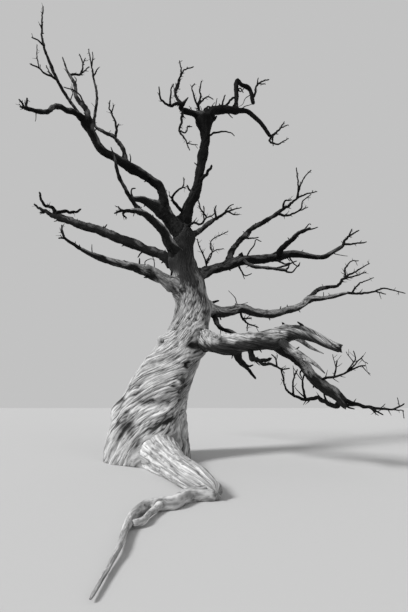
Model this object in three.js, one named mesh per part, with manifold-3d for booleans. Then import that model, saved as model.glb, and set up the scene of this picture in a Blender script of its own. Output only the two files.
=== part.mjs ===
import * as THREE from 'three';
import { mergeVertices } from 'three/addons/utils/BufferGeometryUtils.js';
import Module from 'manifold-3d';

// An old dead tree, bare and twisted, standing on level ground. Millimetres and degrees.
// The middle of the trunk's foot is the origin, X runs to the right and Y to the back.

// Every limb is given by its legs from foot to tip, each one [length, heading, rise]. A heading
// of 0 is to the right, 90 to the back, 180 to the left and 270 to the front. A rise is above level.
// A limb starts inside the one that it grows from, at a share of that one's length, and girth
// lists its radii from foot to tip, evenly spaced.

const groundSize = 12000;
const gap = 0.35;
const gapToSkip = 4;

const trunkSides = 30;
const trunkRings = 44;
const boughSides = 8;
const limbSides = 6;
const twigSides = 3;
const boughGirth = 70;
const ringsPerLeg = 1.5;

const buried = 200;
const ribCount = 5;
const ribDepth = 0.05;
const ribTwist = 4.2;
const flareTop = 0.26;
const flareFade = 1.2;
const flareLobes = [
  { heading: 186, reach: 0.30, width: 34 },
  { heading: 288, reach: 0.34, width: 26 },
  { heading: 62, reach: 0.18, width: 30 },
  { heading: 122, reach: 0.20, width: 26 },
  { heading: 236, reach: 0.14, width: 20 },
];
// Burls on the trunk and the waist over its right bough: how far they stand out or in, and how wide
// and tall they are in degrees and shares.
const burls = [
  { share: 0.447, heading: 222, height: 85, span: 24, tall: 0.019 },
  { share: 0.36, heading: 228, height: 50, span: 11, tall: 0.016 },
  { share: 0.20, heading: 197, height: 75, span: 15, tall: 0.028 },
  { share: 0.68, heading: 345, height: -120, span: 45, tall: 0.03 },
];
const hollows = [
  { share: 0.457, heading: 304, radius: 50, stretch: 1.6 },
  { share: 0.403, heading: 306, radius: 48, stretch: 1.5 },
  { share: 0.275, heading: 326, radius: 55, stretch: 1.7 },
  { share: 0.438, heading: 238, radius: 42, stretch: 1.4 },
];

// The shoots of a mass: how far apart they sprout, how long they are and how far they lean from
// their stem, with their girth as a share of the stem's there. A mass's shootScale shortens them.
const shootSpacing = 330;
const shootPlay = [0.35, 0.95];
const shootLength = [170, 340];
const shootShortening = 0.35;
const shootLean = [38, 66];
const shootLift = 0.3;
const shootShare = 0.55;
const shootTip = 4;
const armShare = 0.85;
const armTipShare = 0.6;
const spaceMargin = 160;
const lowestShoot = 60;

const paleWood = 0xb9b8b4;
const weatheredWood = 0x7a7976;
const darkBark = 0x444341;
const twigBark = 0x3a3937;

const trunk = {
  name: 'trunk',
  place: [0, 0, -buried],
  girth: [500, 500, 470, 410, 345, 290, 268, 265, 172, 117, 100],
  colour: paleWood,
  legs: [
    [630, 180, 88],
    [450, 0, 79],
    [490, 8, 63],
    [400, 10, 65],
    [360, 13, 75],
    [290, 3, 85],
    [340, 180, 71],
    [300, 180, 79],
    [210, 0, 85],
    [200, 180, 85],
    [240, 180, 83],
  ],
};

const upperLimbs = [
  {
    name: 'leader',
    from: 'trunk',
    at: 0.99,
    girth: [92, 87, 81, 86, 92],
    colour: darkBark,
    legs: [[400, 50, 75], [490, 35, 70], [680, 55, 75], [560, 55, 75], [390, 80, 85], [380, 140, 80]],
  },
  {
    name: 'leader_left_arm',
    from: 'leader',
    at: 0.97,
    girth: [90, 68, 45, 10],
    colour: darkBark,
    legs: [[200, 205, 20], [210, 210, -10], [140, 215, 5], [100, 310, 20], [150, 335, 45]],
  },
  {
    name: 'leader_right_arm',
    from: 'leader',
    at: 0.94,
    girth: [88, 92, 74, 45, 32],
    colour: darkBark,
    legs: [[370, 25, 65], [350, 15, 30], [270, 20, 10], [270, 15, 15], [360, 10, -45], [380, 20, -50]],
  },
  {
    name: 'leader_hoop',
    from: 'leader_right_arm',
    at: 0.48,
    girth: [43, 46, 44, 39],
    colour: darkBark,
    legs: [[380, 40, 85], [520, 60, 85], [150, 15, -30], [190, 20, -15], [370, 30, -75]],
  },
];

const leftLimbs = [
  {
    name: 'crook_bough',
    from: 'trunk',
    at: 0.95,
    girth: [114, 106, 74, 35],
    colour: weatheredWood,
    legs: [[330, 200, 45], [230, 215, 35], [200, 210, 15], [140, 215, 15], [170, 220, -15]],
  },
  {
    name: 'left_high_bough',
    from: 'crook_bough',
    at: 0.49,
    girth: [74, 67, 72, 62, 56],
    colour: darkBark,
    legs: [
      [260, 288, 78],
      [220, 210, 69],
      [270, 201, 27],
      [450, 201, 18],
      [300, 198, 24],
      [280, 207, 54],
      [330, 204, 66],
    ],
  },
  {
    name: 'left_high_upright',
    from: 'left_high_bough',
    at: 0.94,
    girth: [50, 35, 25, 10],
    colour: darkBark,
    legs: [[400, 130, 70], [570, 150, 55], [420, 140, 70], [590, 145, 60], [590, 150, 65]],
  },
  {
    name: 'left_high_spire',
    from: 'left_high_bough',
    at: 0.98,
    girth: [26, 23, 23, 18],
    colour: darkBark,
    legs: [[240, 205, 40], [300, 210, 50], [270, 210, 55], [260, 210, 65], [210, 225, 60]],
  },
  {
    name: 'left_level_limb',
    from: 'left_high_bough',
    at: 0.96,
    girth: [50, 36, 30, 25],
    colour: darkBark,
    legs: [[170, 230, 10], [250, 250, -30], [260, 255, -35], [410, 265, -55], [340, 255, -40]],
  },
  {
    name: 'left_back_limb',
    from: 'left_high_bough',
    at: 0.5,
    girth: [36, 33, 26, 23, 20],
    colour: darkBark,
    legs: [[550, 135, 65], [380, 150, 55], [340, 160, 40], [340, 155, 50], [670, 115, 85], [530, 155, 75]],
  },
  {
    name: 'left_inner_bough',
    from: 'trunk',
    at: 0.83,
    girth: [96, 81, 65, 48, 32],
    colour: weatheredWood,
    legs: [[370, 220, 40], [190, 235, 50], [200, 235, 25], [200, 230, 15], [190, 235, -10], [150, 225, -20]],
  },
  {
    name: 'left_cross_shoot',
    from: 'left_inner_bough',
    at: 0.86,
    girth: [31, 28, 25, 20, 7],
    colour: darkBark,
    legs: [[210, 210, 50], [150, 215, 50], [170, 215, 55], [160, 220, 65], [140, 235, 75], [220, 195, 70]],
  },
  {
    name: 'left_long_bough',
    from: 'trunk',
    at: 0.81,
    girth: [113, 74, 82, 83, 77, 68],
    colour: darkBark,
    legs: [
      [320, 153, 36],
      [250, 150, 33],
      [380, 153, 27],
      [410, 156, 30],
      [530, 156, 30],
      [560, 156, 24],
      [530, 162, 27],
      [460, 156, 27],
    ],
  },
  {
    name: 'left_low_bough',
    from: 'trunk',
    at: 0.7,
    girth: [123, 107, 86, 57, 42, 28],
    colour: weatheredWood,
    legs: [
      [370, 219, 6],
      [200, 213, 21],
      [200, 210, 15],
      [210, 210, 6],
      [220, 210, 0],
      [250, 213, 3],
      [170, 216, 9],
      [160, 222, 15],
    ],
  },
];

const rightLimbs = [
  {
    name: 'right_inner_limb',
    from: 'trunk',
    at: 0.93,
    girth: [66, 47, 39],
    colour: darkBark,
    legs: [[400, 65, 40], [400, 60, 40], [480, 50, 45]],
  },
  {
    name: 'right_high_bough',
    from: 'trunk',
    at: 0.74,
    girth: [112, 82, 84, 72, 48, 36],
    colour: darkBark,
    legs: [
      [310, 57, 35],
      [370, 39, 30],
      [410, 33, 30],
      [360, 27, 24],
      [360, 27, 15],
      [340, 21, 15],
      [540, 15, 15],
      [540, 9, -3],
      [290, 15, 27],
      [310, 9, 33],
    ],
  },
  {
    name: 'right_rising_bough',
    from: 'right_high_bough',
    at: 0.29,
    girth: [54, 53, 51, 45, 37],
    colour: darkBark,
    legs: [
      [250, 63, 66],
      [310, 60, 54],
      [400, 48, 48],
      [460, 39, 45],
      [340, 30, 36],
      [420, 30, 39],
      [300, 24, 42],
    ],
  },
  {
    name: 'right_bent_snag',
    from: 'right_high_bough',
    at: 0.59,
    girth: [56, 48, 36, 26],
    colour: darkBark,
    legs: [[220, 280, 20], [270, 295, 5], [270, 290, 10], [280, 295, -10]],
  },
  {
    name: 'right_under_limb',
    from: 'right_high_bough',
    at: 0.37,
    girth: [37, 27, 23],
    colour: darkBark,
    legs: [[360, 310, -35], [330, 320, -20], [310, 330, -20]],
  },
  {
    name: 'right_long_bough',
    from: 'trunk',
    at: 0.64,
    girth: [127, 80, 70, 66, 48, 30],
    colour: weatheredWood,
    legs: [
      [360, 48, 3],
      [330, 39, 0],
      [320, 33, 18],
      [260, 30, 6],
      [260, 24, -6],
      [310, 24, 3],
      [530, 21, 21],
      [320, 21, 30],
      [340, 6, 9],
      [490, 6, 15],
    ],
  },
  {
    name: 'right_fan_limb',
    from: 'right_long_bough',
    at: 0.76,
    girth: [43, 39, 32],
    colour: darkBark,
    legs: [[250, 30, 45], [290, 35, 30], [480, 25, 15]],
  },
  {
    name: 'right_hanging_limb',
    from: 'right_long_bough',
    at: 0.12,
    girth: [45, 36, 29, 16],
    colour: darkBark,
    legs: [[220, 305, -60], [190, 315, -55], [250, 330, -25], [250, 330, -40]],
  },
];

const lowLimbs = [
  {
    name: 'great_bough',
    from: 'trunk',
    at: 0.48,
    girth: [175, 156, 137, 127, 125, 111, 103, 104, 78, 56, 42],
    colour: paleWood,
    legs: [
      [360, 330, 2],
      [230, 290, -13],
      [370, 300, -15],
      [230, 324, 0],
      [200, 324, -3],
      [180, 327, 3],
      [170, 324, 9],
      [130, 321, 9],
      [140, 327, -6],
      [180, 324, -27],
      [160, 327, -33],
      [100, 327, -27],
    ],
  },
  {
    name: 'great_bough_splinter',
    from: 'great_bough',
    at: 0.74,
    girth: [35, 28, 5],
    colour: paleWood,
    legs: [[250, 35, -10], [180, 30, -25], [200, 20, -20]],
  },
  {
    name: 'great_bough_spike',
    from: 'great_bough',
    at: 0.7,
    girth: [46, 41, 32, 6],
    colour: paleWood,
    legs: [[240, 290, -40], [210, 315, -35], [170, 315, -35], [130, 310, -45]],
  },
  {
    name: 'drooping_bough',
    from: 'great_bough',
    at: 0.65,
    girth: [60, 57, 57, 64, 66, 50],
    colour: weatheredWood,
    legs: [
      [220, 27, -30],
      [150, 357, -36],
      [150, 351, -45],
      [170, 342, -51],
      [160, 339, -42],
      [150, 336, -42],
      [130, 339, -51],
    ],
  },
  {
    name: 'hanging_snag',
    from: 'great_bough',
    at: 0.46,
    girth: [57, 41, 8],
    colour: weatheredWood,
    legs: [[210, 65, -45], [130, 40, -45], [190, 30, -40]],
  },
];

// The roots lie half sunk in the ground in front of the trunk.
const roots = [
  {
    name: 'front_root',
    place: [60, -200, 120],
    girth: [250, 240, 195, 150, 122, 112, 64],
    colour: paleWood,
    legs: [[1360, 290, -1], [480, 295, -3], [260, 295, -3]],
  },
  {
    name: 'creeping_root',
    place: [800, -2080, 45],
    girth: [58, 50, 38, 28, 17, 12, 7],
    colour: paleWood,
    legs: [
      [190, 195, 0],
      [220, 240, -2],
      [170, 190, -2],
      [200, 255, 0],
      [230, 270, 0],
      [300, 275, 0],
      [170, 270, -3],
      [260, 270, -1],
    ],
  },
  {
    name: 'root_spur',
    from: 'creeping_root',
    at: 0.28,
    girth: [25, 21, 18, 21],
    colour: paleWood,
    legs: [[210, 255, -1], [130, 262, 0], [80, 230, 0]],
  },
];

// A mass of twigs has a stem and a few arms, all given as limbs are, and short shoots that
// sprout from them by the seeded rule.
const upperMasses = [
  {
    name: 'leader_left_twigs',
    from: 'leader_left_arm',
    at: 0.8,
    girth: [34, 11],
    shootScale: 0.4,
    legs: [[240, 215, -35], [170, 220, -35], [120, 220, 0], [90, 210, 55], [190, 250, 75]],
    arms: [
      { at: 0.43, legs: [[280, 280, 70], [110, 320, 55]] },
      { at: 0.05, legs: [[430, 140, 65], [350, 40, 80], [330, 20, 80], [330, 135, 80]] },
      { at: 0.05, legs: [[390, 145, 65], [360, 55, 75], [490, 50, 75], [330, 25, 45]] },
    ],
  },
  {
    name: 'leader_drooping_twigs',
    from: 'leader_left_arm',
    at: 0.62,
    girth: [28, 9],
    shootScale: 0.4,
    legs: [[430, 270, -70], [330, 250, -75], [180, 320, -60], [230, 325, -65], [210, 320, -70]],
    arms: [
      { at: 0.54, legs: [[120, 15, -5], [280, 75, 65], [90, 30, 15]] },
      { at: 0.86, legs: [[220, 30, 15]] },
    ],
  },
  {
    name: 'leader_crown_twigs',
    from: 'leader',
    at: 1,
    girth: [31, 10],
    shootScale: 0.4,
    legs: [[290, 175, 70], [360, 50, 80], [130, 180, 80], [330, 50, 80]],
    arms: [
      { at: 0.22, legs: [[140, 240, 35], [270, 230, 60], [100, 320, 45]] },
      { at: 0.34, legs: [[260, 40, 60], [220, 50, 55], [170, 40, 15]] },
    ],
  },
  {
    name: 'leader_hoop_twigs',
    from: 'leader_hoop',
    at: 0.96,
    girth: [31, 12],
    shootScale: 0.35,
    legs: [[530, 25, 75], [260, 15, 50], [170, 20, 30]],
    arms: [
      { at: 0.54, legs: [[180, 295, 70]] },
      { at: 0.65, legs: [[250, 35, 30]] },
    ],
  },
  {
    name: 'leader_drop_twigs',
    from: 'leader_right_arm',
    at: 1,
    girth: [30, 10],
    shootScale: 0.35,
    legs: [[160, 20, 40], [210, 25, 55], [300, 20, 60]],
    arms: [
      { at: 0.05, legs: [[200, 225, -65], [180, 0, -25], [310, 10, 35]] },
      { at: 0.1, legs: [[430, 255, -68]] },
      { at: 0.62, legs: [[350, 30, 40]] },
    ],
  },
  {
    name: 'leader_side_twigs',
    from: 'leader',
    at: 0.14,
    girth: [34, 8],
    shootScale: 0.3,
    legs: [[160, 215, -20], [120, 220, 40], [120, 210, 55], [170, 335, 45], [90, 345, 35], [140, 325, 75]],
    arms: [
      { at: 0.5, legs: [[60, 215, 25]] },
      { at: 0.78, legs: [[130, 25, 30]] },
    ],
  },
];

const leftMasses = [
  {
    name: 'left_upright_twigs',
    from: 'left_high_upright',
    at: 0.72,
    girth: [22, 10],
    shootScale: 0.3,
    legs: [[210, 65, 50], [170, 65, 50], [410, 105, 75], [410, 145, 65]],
    arms: [
      { at: 0.32, legs: [[250, 60, 65], [160, 60, 65]] },
      { at: 0.64, legs: [[120, 320, 50]] },
    ],
  },
  {
    name: 'left_spire_twigs',
    from: 'left_high_spire',
    at: 1,
    girth: [18, 9],
    shootScale: 0.3,
    legs: [[340, 175, 75], [270, 185, 85], [330, 180, 85]],
    arms: [
      { at: 0.06, legs: [[90, 240, -5], [90, 215, 0]] },
      { at: 0.48, legs: [[120, 285, -30]] },
    ],
  },
  {
    name: 'left_spire_side_twigs',
    from: 'left_high_spire',
    at: 0.58,
    girth: [18, 9],
    shootScale: 0.3,
    legs: [[110, 250, -25], [130, 240, -30], [110, 215, 35], [120, 205, 10]],
    arms: [
      { at: 0.75, legs: [[300, 150, 70], [330, 145, 75]] },
      { at: 0.2, legs: [[380, 140, 55], [170, 150, 60]] },
    ],
  },
  {
    name: 'left_level_twigs',
    from: 'left_level_limb',
    at: 1,
    girth: [24, 11],
    shootScale: 0.25,
    legs: [[40, 225, -15], [40, 215, -20]],
    arms: [
      { at: 0.05, legs: [[150, 140, 55], [160, 120, 70]] },
      { at: 0.5, legs: [[60, 225, 60], [50, 265, -10]] },
    ],
  },
  {
    name: 'left_back_twigs',
    from: 'left_back_limb',
    at: 1,
    girth: [20, 9],
    shootScale: 0.3,
    legs: [[520, 155, 75], [470, 155, 75]],
    arms: [
      { at: 0.4, legs: [[170, 295, 20], [100, 270, 65]] },
      { at: 0.1, legs: [[440, 85, 70]] },
    ],
  },
  {
    name: 'left_back_second_twigs',
    from: 'left_back_limb',
    at: 0.31,
    girth: [24, 9],
    shootScale: 0.3,
    legs: [[210, 275, 85], [260, 170, 75], [280, 155, 65], [250, 110, 75]],
    arms: [
      { at: 0.2, legs: [[110, 305, 5]] },
      { at: 0.6, legs: [[150, 300, 20]] },
    ],
  },
  {
    name: 'left_inner_twigs',
    from: 'left_inner_bough',
    at: 1,
    girth: [28, 10],
    shootScale: 0.25,
    legs: [[150, 225, -25], [150, 245, -40]],
    arms: [
      { at: 0.25, legs: [[70, 135, -25], [70, 50, -25]] },
      { at: 0.45, legs: [[120, 150, 50]] },
    ],
  },
  {
    name: 'left_long_twigs',
    from: 'left_long_bough',
    at: 1,
    girth: [57, 20],
    shootScale: 0.35,
    legs: [[310, 160, 30], [250, 165, 30], [220, 165, 40]],
    arms: [
      { at: 0.13, legs: [[160, 255, 75], [220, 195, 20], [260, 205, 65]] },
      { at: 0.07, legs: [[150, 25, 65], [270, 35, 15], [200, 40, 40]] },
      { at: 0.53, legs: [[140, 150, 5]] },
    ],
  },
  {
    name: 'left_low_twigs',
    from: 'left_low_bough',
    at: 1,
    girth: [26, 9],
    shootScale: 0.25,
    legs: [[120, 205, 25], [100, 215, 30], [110, 185, 65], [90, 175, 80]],
    arms: [
      { at: 0.52, legs: [[120, 250, -25]] },
      { at: 0.62, legs: [[130, 145, 45]] },
    ],
  },
];

const rightMasses = [
  {
    name: 'right_inner_spray',
    from: 'right_inner_limb',
    at: 1,
    girth: [35, 9],
    shootScale: 0.5,
    legs: [[310, 35, 40], [310, 40, 40], [310, 30, 30]],
    arms: [
      { at: 0.12, legs: [[150, 235, 65], [100, 305, 50]] },
      { at: 0.56, legs: [[180, 30, -5], [170, 45, 30]] },
      { at: 0.38, legs: [[180, 330, 45], [100, 325, 15]] },
    ],
  },
  {
    name: 'right_crooked_twigs',
    from: 'trunk',
    at: 0.975,
    girth: [26, 8],
    shootScale: 0.45,
    legs: [[240, 310, 10], [180, 325, -20], [150, 310, 20], [140, 210, 50], [150, 225, 65]],
    arms: [
      { at: 0.66, legs: [[110, 335, 5], [80, 310, 30]] },
      { at: 0.58, legs: [[300, 90, 60], [200, 95, 60]] },
    ],
  },
  {
    name: 'right_curl_twigs',
    from: 'right_high_bough',
    at: 0.15,
    girth: [17, 9],
    shootScale: 0.6,
    legs: [[260, 250, 55], [220, 230, 50], [120, 240, 60]],
    arms: [
      { at: 0.24, legs: [[250, 15, 65], [170, 120, 70], [190, 35, 65], [340, 20, 35]] },
      { at: 0.3, legs: [[260, 30, 60], [220, 10, 25]] },
    ],
  },
  {
    name: 'right_rising_twigs',
    from: 'right_rising_bough',
    at: 1,
    girth: [36, 12],
    shootScale: 0.5,
    legs: [[370, 20, 40], [280, 20, 45], [250, 10, 30], [290, 10, 20]],
    arms: [
      { at: 0.5, legs: [[310, 290, 70], [410, 245, 75]] },
      { at: 0.53, legs: [[280, 295, 62], [240, 330, 58], [190, 340, 45]] },
      { at: 0.05, legs: [[180, 275, 35], [160, 320, -10]] },
    ],
  },
  {
    name: 'right_rising_side_twigs',
    from: 'right_rising_bough',
    at: 0.93,
    girth: [30, 9],
    shootScale: 0.5,
    legs: [[280, 320, -30], [290, 330, 10], [180, 295, 55], [200, 325, 30]],
    arms: [
      { at: 0.56, legs: [[280, 20, 30]] },
    ],
  },
  {
    name: 'right_fore_twigs',
    from: 'right_high_bough',
    at: 1,
    girth: [31, 12],
    shootScale: 0.45,
    legs: [[220, 5, 60], [370, 10, 35]],
    arms: [
      { at: 0.08, legs: [[230, 320, -15], [210, 330, -5]] },
      { at: 0.5, legs: [[180, 270, 25]] },
    ],
  },
  {
    name: 'right_long_fore_twigs',
    from: 'right_long_bough',
    at: 1,
    girth: [26, 9],
    shootScale: 0.5,
    legs: [[200, 345, -10], [250, 340, 0], [220, 345, 15], [380, 345, -20]],
    arms: [
      { at: 0.08, legs: [[400, 35, 40], [430, 15, 25]] },
      { at: 0.48, legs: [[250, 15, -10]] },
    ],
  },
  {
    name: 'right_fan_twigs',
    from: 'right_fan_limb',
    at: 1,
    girth: [32, 10],
    shootScale: 0.85,
    legs: [[310, 20, 45], [300, 10, 30], [430, 5, 30]],
    arms: [
      { at: 0.24, legs: [[250, 325, 5], [220, 330, 10]] },
      { at: 0.32, legs: [[220, 35, 75], [310, 30, 45], [250, 25, 15]] },
    ],
  },
  {
    name: 'right_long_hanging_twigs',
    from: 'right_long_bough',
    at: 0.3,
    girth: [24, 9],
    shootScale: 0.5,
    legs: [[210, 285, -60], [210, 295, -40], [230, 315, -25]],
    arms: [
      { at: 0.65, legs: [[180, 250, -55]] },
      { at: 0.36, legs: [[180, 315, -10]] },
    ],
  },
];

const lowMasses = [
  {
    name: 'drooping_fore_twigs',
    from: 'drooping_bough',
    at: 1,
    girth: [24, 7],
    shootScale: 0.6,
    legs: [[110, 0, 0], [140, 0, -10], [160, 0, -10], [110, 0, 0], [150, 0, 25]],
    arms: [
      { at: 0.38, legs: [[160, 315, -30]] },
      { at: 0.78, legs: [[200, 30, -5]] },
    ],
  },
  {
    name: 'drooping_back_twigs',
    from: 'drooping_bough',
    at: 0.96,
    girth: [33, 8],
    shootScale: 0.8,
    legs: [
      [160, 100, -25],
      [120, 115, 25],
      [150, 130, 25],
      [180, 125, -5],
      [190, 125, 15],
      [150, 125, 35],
      [270, 100, 70],
    ],
    arms: [
      { at: 0.66, legs: [[210, 70, 60], [210, 45, 50]] },
      { at: 0.5, legs: [[220, 245, 60], [140, 290, 70]] },
    ],
  },
  {
    name: 'drooping_top_twigs',
    from: 'drooping_bough',
    at: 0.68,
    girth: [17, 7],
    shootScale: 0.8,
    legs: [[110, 295, 15], [100, 330, 5], [150, 340, 20], [140, 315, 20], [70, 305, 5]],
    arms: [
      { at: 0.61, legs: [[200, 20, 45], [120, 65, 65]] },
      { at: 0.65, legs: [[160, 310, 40], [110, 280, 25]] },
      { at: 0.36, legs: [[130, 40, 55], [80, 5, 75]] },
    ],
  },
  {
    name: 'hanging_fork',
    from: 'great_bough',
    at: 0.54,
    girth: [34, 7],
    shootScale: 0.4,
    legs: [
      [180, 300, -75],
      [90, 315, -40],
      [120, 335, -25],
      [90, 320, -10],
      [110, 330, -25],
      [100, 330, -5],
    ],
    arms: [
      { at: 0.79, legs: [[100, 235, 80], [60, 185, 40]] },
      { at: 0.86, legs: [[90, 70, -50]] },
    ],
  },
];

const wasm = await Module();
wasm.setup();

const radians = THREE.MathUtils.degToRad;

function seededBy(name) {
  let seed = 7;
  for (const letter of name) {
    seed = (Math.imul(seed, 31) + letter.charCodeAt(0)) >>> 0;
  }
  return (low, high) => {
    seed = (Math.imul(seed, 1664525) + 1013904223) >>> 0;
    return low + (high - low) * (seed / 4294967296);
  };
}

function stepOf([length, heading, rise]) {
  const level = length * Math.cos(radians(rise));
  return new THREE.Vector3(
    level * Math.cos(radians(heading)),
    level * Math.sin(radians(heading)),
    length * Math.sin(radians(rise)),
  );
}

function pathFrom(start, legs) {
  const points = [start.clone()];
  for (const leg of legs) {
    points.push(points[points.length - 1].clone().add(stepOf(leg)));
  }
  return new THREE.CatmullRomCurve3(points, false, 'catmullrom', 0.5);
}

// The value at a share of the way along an evenly spaced list.
function along(list, share) {
  const place = Math.min(Math.max(share, 0), 1) * (list.length - 1);
  const before = Math.min(Math.floor(place), list.length - 2);
  return THREE.MathUtils.lerp(list[before], list[before + 1], place - before);
}

// A straight rod is bent along the path: its width turns to the path's binormal and normal.
// The grown copy of it is what the pieces that rest against it are cut with.
function sweep(path, radiusAt, sides, rings, grow) {
  const rod = new THREE.CylinderGeometry(1, 1, 1, sides, rings);
  const frames = path.computeFrenetFrames(rings, false);
  const corners = rod.attributes.position;
  for (let index = 0; index < corners.count; index += 1) {
    const share = corners.getY(index) + 0.5;
    const ring = Math.round(share * rings);
    const radial = new THREE.Vector3();
    radial.addScaledVector(frames.binormals[ring], corners.getX(index));
    radial.addScaledVector(frames.normals[ring], corners.getZ(index));
    const heading = THREE.MathUtils.radToDeg(Math.atan2(radial.y, radial.x));
    const endShift = ring === 0 ? -grow : ring === rings ? grow : 0;
    const corner = path.getPointAt(ring / rings);
    corner.addScaledVector(radial, radiusAt(share, heading) + grow);
    corner.addScaledVector(frames.tangents[ring], endShift);
    corners.setXYZ(index, corner.x, corner.y, corner.z);
  }
  return solidOf(rod);
}

function solidOf(geometry) {
  geometry.deleteAttribute('normal');
  geometry.deleteAttribute('uv');
  const welded = mergeVertices(geometry);
  return new wasm.Manifold(new wasm.Mesh({
    numProp: 3,
    vertProperties: new Float32Array(welded.attributes.position.array),
    triVerts: new Uint32Array(welded.index.array),
  }));
}

// A piece's mesh stands at the foot of its limb.
function meshOf({ name, colour, solid }) {
  const foot = paths[name].getPointAt(0);
  const made = solid.getMesh();
  const geometry = new THREE.BufferGeometry();
  geometry.setAttribute('position', new THREE.BufferAttribute(made.vertProperties, 3));
  geometry.setIndex(new THREE.BufferAttribute(made.triVerts, 1));
  geometry.translate(-foot.x, -foot.y, -foot.z);
  geometry.computeVertexNormals();
  const wood = new THREE.MeshStandardMaterial({ color: colour, roughness: 0.86, metalness: 0 });
  const mesh = new THREE.Mesh(geometry, wood);
  mesh.name = name;
  mesh.position.copy(foot);
  return mesh;
}

function largestBody(solid) {
  const bodies = solid.decompose();
  bodies.sort((one, other) => other.volume() - one.volume());
  return bodies[0];
}

function boxesMeet(one, other) {
  const a = one.boundingBox();
  const b = other.boundingBox();
  return [0, 1, 2].every((axis) => a.min[axis] <= b.max[axis] && b.min[axis] <= a.max[axis]);
}

// The turn from one heading to another, from -180 to 180 degrees.
function turnBetween(heading, other) {
  return ((other - heading + 540) % 360) - 180;
}

// The trunk's own section: ribs that wind up it, lobes where the roots leave its foot, and burls.
function trunkRadius(share, heading) {
  const height = Math.max(0, 1 - share / flareTop);
  let flare = 0;
  for (const lobe of flareLobes) {
    flare += lobe.reach * Math.exp(-((turnBetween(lobe.heading, heading) / lobe.width) ** 2));
  }
  let swelling = 0;
  for (const burl of burls) {
    const aside = turnBetween(burl.heading, heading) / burl.span;
    const above = (share - burl.share) / burl.tall;
    swelling += burl.height * Math.exp(-(aside ** 2) - above ** 2);
  }
  const rib = ribDepth * Math.cos(ribCount * radians(heading) - ribTwist * share);
  return along(trunk.girth, share) * (1 + rib + flare * height ** flareFade) + swelling;
}

const ground = solidOf(new THREE.BoxGeometry(groundSize, groundSize, groundSize))
  .translate([0, 0, -groundSize / 2]);

const paths = {};
const solids = [];

function startOf(limb) {
  if (limb.place) {
    return new THREE.Vector3(...limb.place);
  }
  return paths[limb.from].getPointAt(limb.at);
}

// Cuts a piece clear of everything that stands there already, and keeps its main body.
function fitted(solid) {
  let rest = solid;
  for (const standing of solids) {
    if (boxesMeet(rest, standing.grown)) {
      rest = rest.subtract(standing.grown);
    }
  }
  return largestBody(rest);
}

function growLimb(limb) {
  const path = pathFrom(startOf(limb), limb.legs);
  paths[limb.name] = path;
  const isTrunk = limb.name === 'trunk';
  const sides = isTrunk ? trunkSides : limb.girth[0] > boughGirth ? boughSides : limbSides;
  const rings = isTrunk ? trunkRings : Math.ceil(limb.legs.length * ringsPerLeg);
  const radiusAt = isTrunk ? trunkRadius : (share) => along(limb.girth, share);
  const full = sweep(path, radiusAt, sides, rings, 0).subtract(ground);
  const grown = sweep(path, radiusAt, sides, rings, gap);
  solids.push({ name: limb.name, colour: limb.colour, solid: fitted(full), grown });
}

function carveHollows() {
  const standing = solids[0];
  for (const hollow of hollows) {
    const middle = paths.trunk.getPointAt(hollow.share);
    const turn = radians(hollow.heading);
    const reach = trunkRadius(hollow.share, hollow.heading);
    const ball = new THREE.SphereGeometry(hollow.radius, 7, 5);
    ball.scale(1, 1, hollow.stretch);
    ball.translate(
      middle.x + reach * Math.cos(turn),
      middle.y + reach * Math.sin(turn),
      middle.z,
    );
    standing.solid = standing.solid.subtract(solidOf(ball));
  }
}

// The seeded rule: shoots sprout at even spaces with some play, lean out to any side and turn
// upward. One that would leave the mass's own space or touch another piece is skipped.
function shootsOn(path, girth, shootScale, random, space, others) {
  const shoots = [];
  const count = Math.max(1, Math.floor(path.getLength() / shootSpacing));
  for (let index = 0; index < count; index += 1) {
    const share = (index + random(...shootPlay)) / count;
    const turn = random(0, 2 * Math.PI);
    const lean = radians(random(...shootLean));
    const length = random(...shootLength) * shootScale * (1 - shootShortening * share);
    const foot = path.getPointAt(share);
    const tangent = path.getTangentAt(share);
    const side = new THREE.Vector3(Math.cos(turn), Math.sin(turn), shootLift);
    side.cross(tangent).normalize();
    const out = tangent.clone().multiplyScalar(Math.cos(lean)).addScaledVector(side, Math.sin(lean));
    const knee = foot.clone().addScaledVector(out, length * 0.5);
    out.z += shootLift;
    const tip = knee.clone().addScaledVector(out.normalize(), length * 0.5);
    const shoot = new THREE.CatmullRomCurve3([foot, knee, tip], false, 'catmullrom', 0.5);
    const radius = Math.max(shootTip + 1, along(girth, share) * shootShare);
    const radiusAt = (part) => THREE.MathUtils.lerp(radius, shootTip, part);
    const wide = sweep(shoot, radiusAt, twigSides, 2, gapToSkip);
    const isOut = !space.containsPoint(tip) || tip.z < lowestShoot;
    const touches = others.some((other) => boxesMeet(wide, other) && !wide.intersect(other).isEmpty());
    if (!isOut && !touches) {
      shoots.push(sweep(shoot, radiusAt, twigSides, 2, 0));
    }
  }
  return shoots;
}

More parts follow.
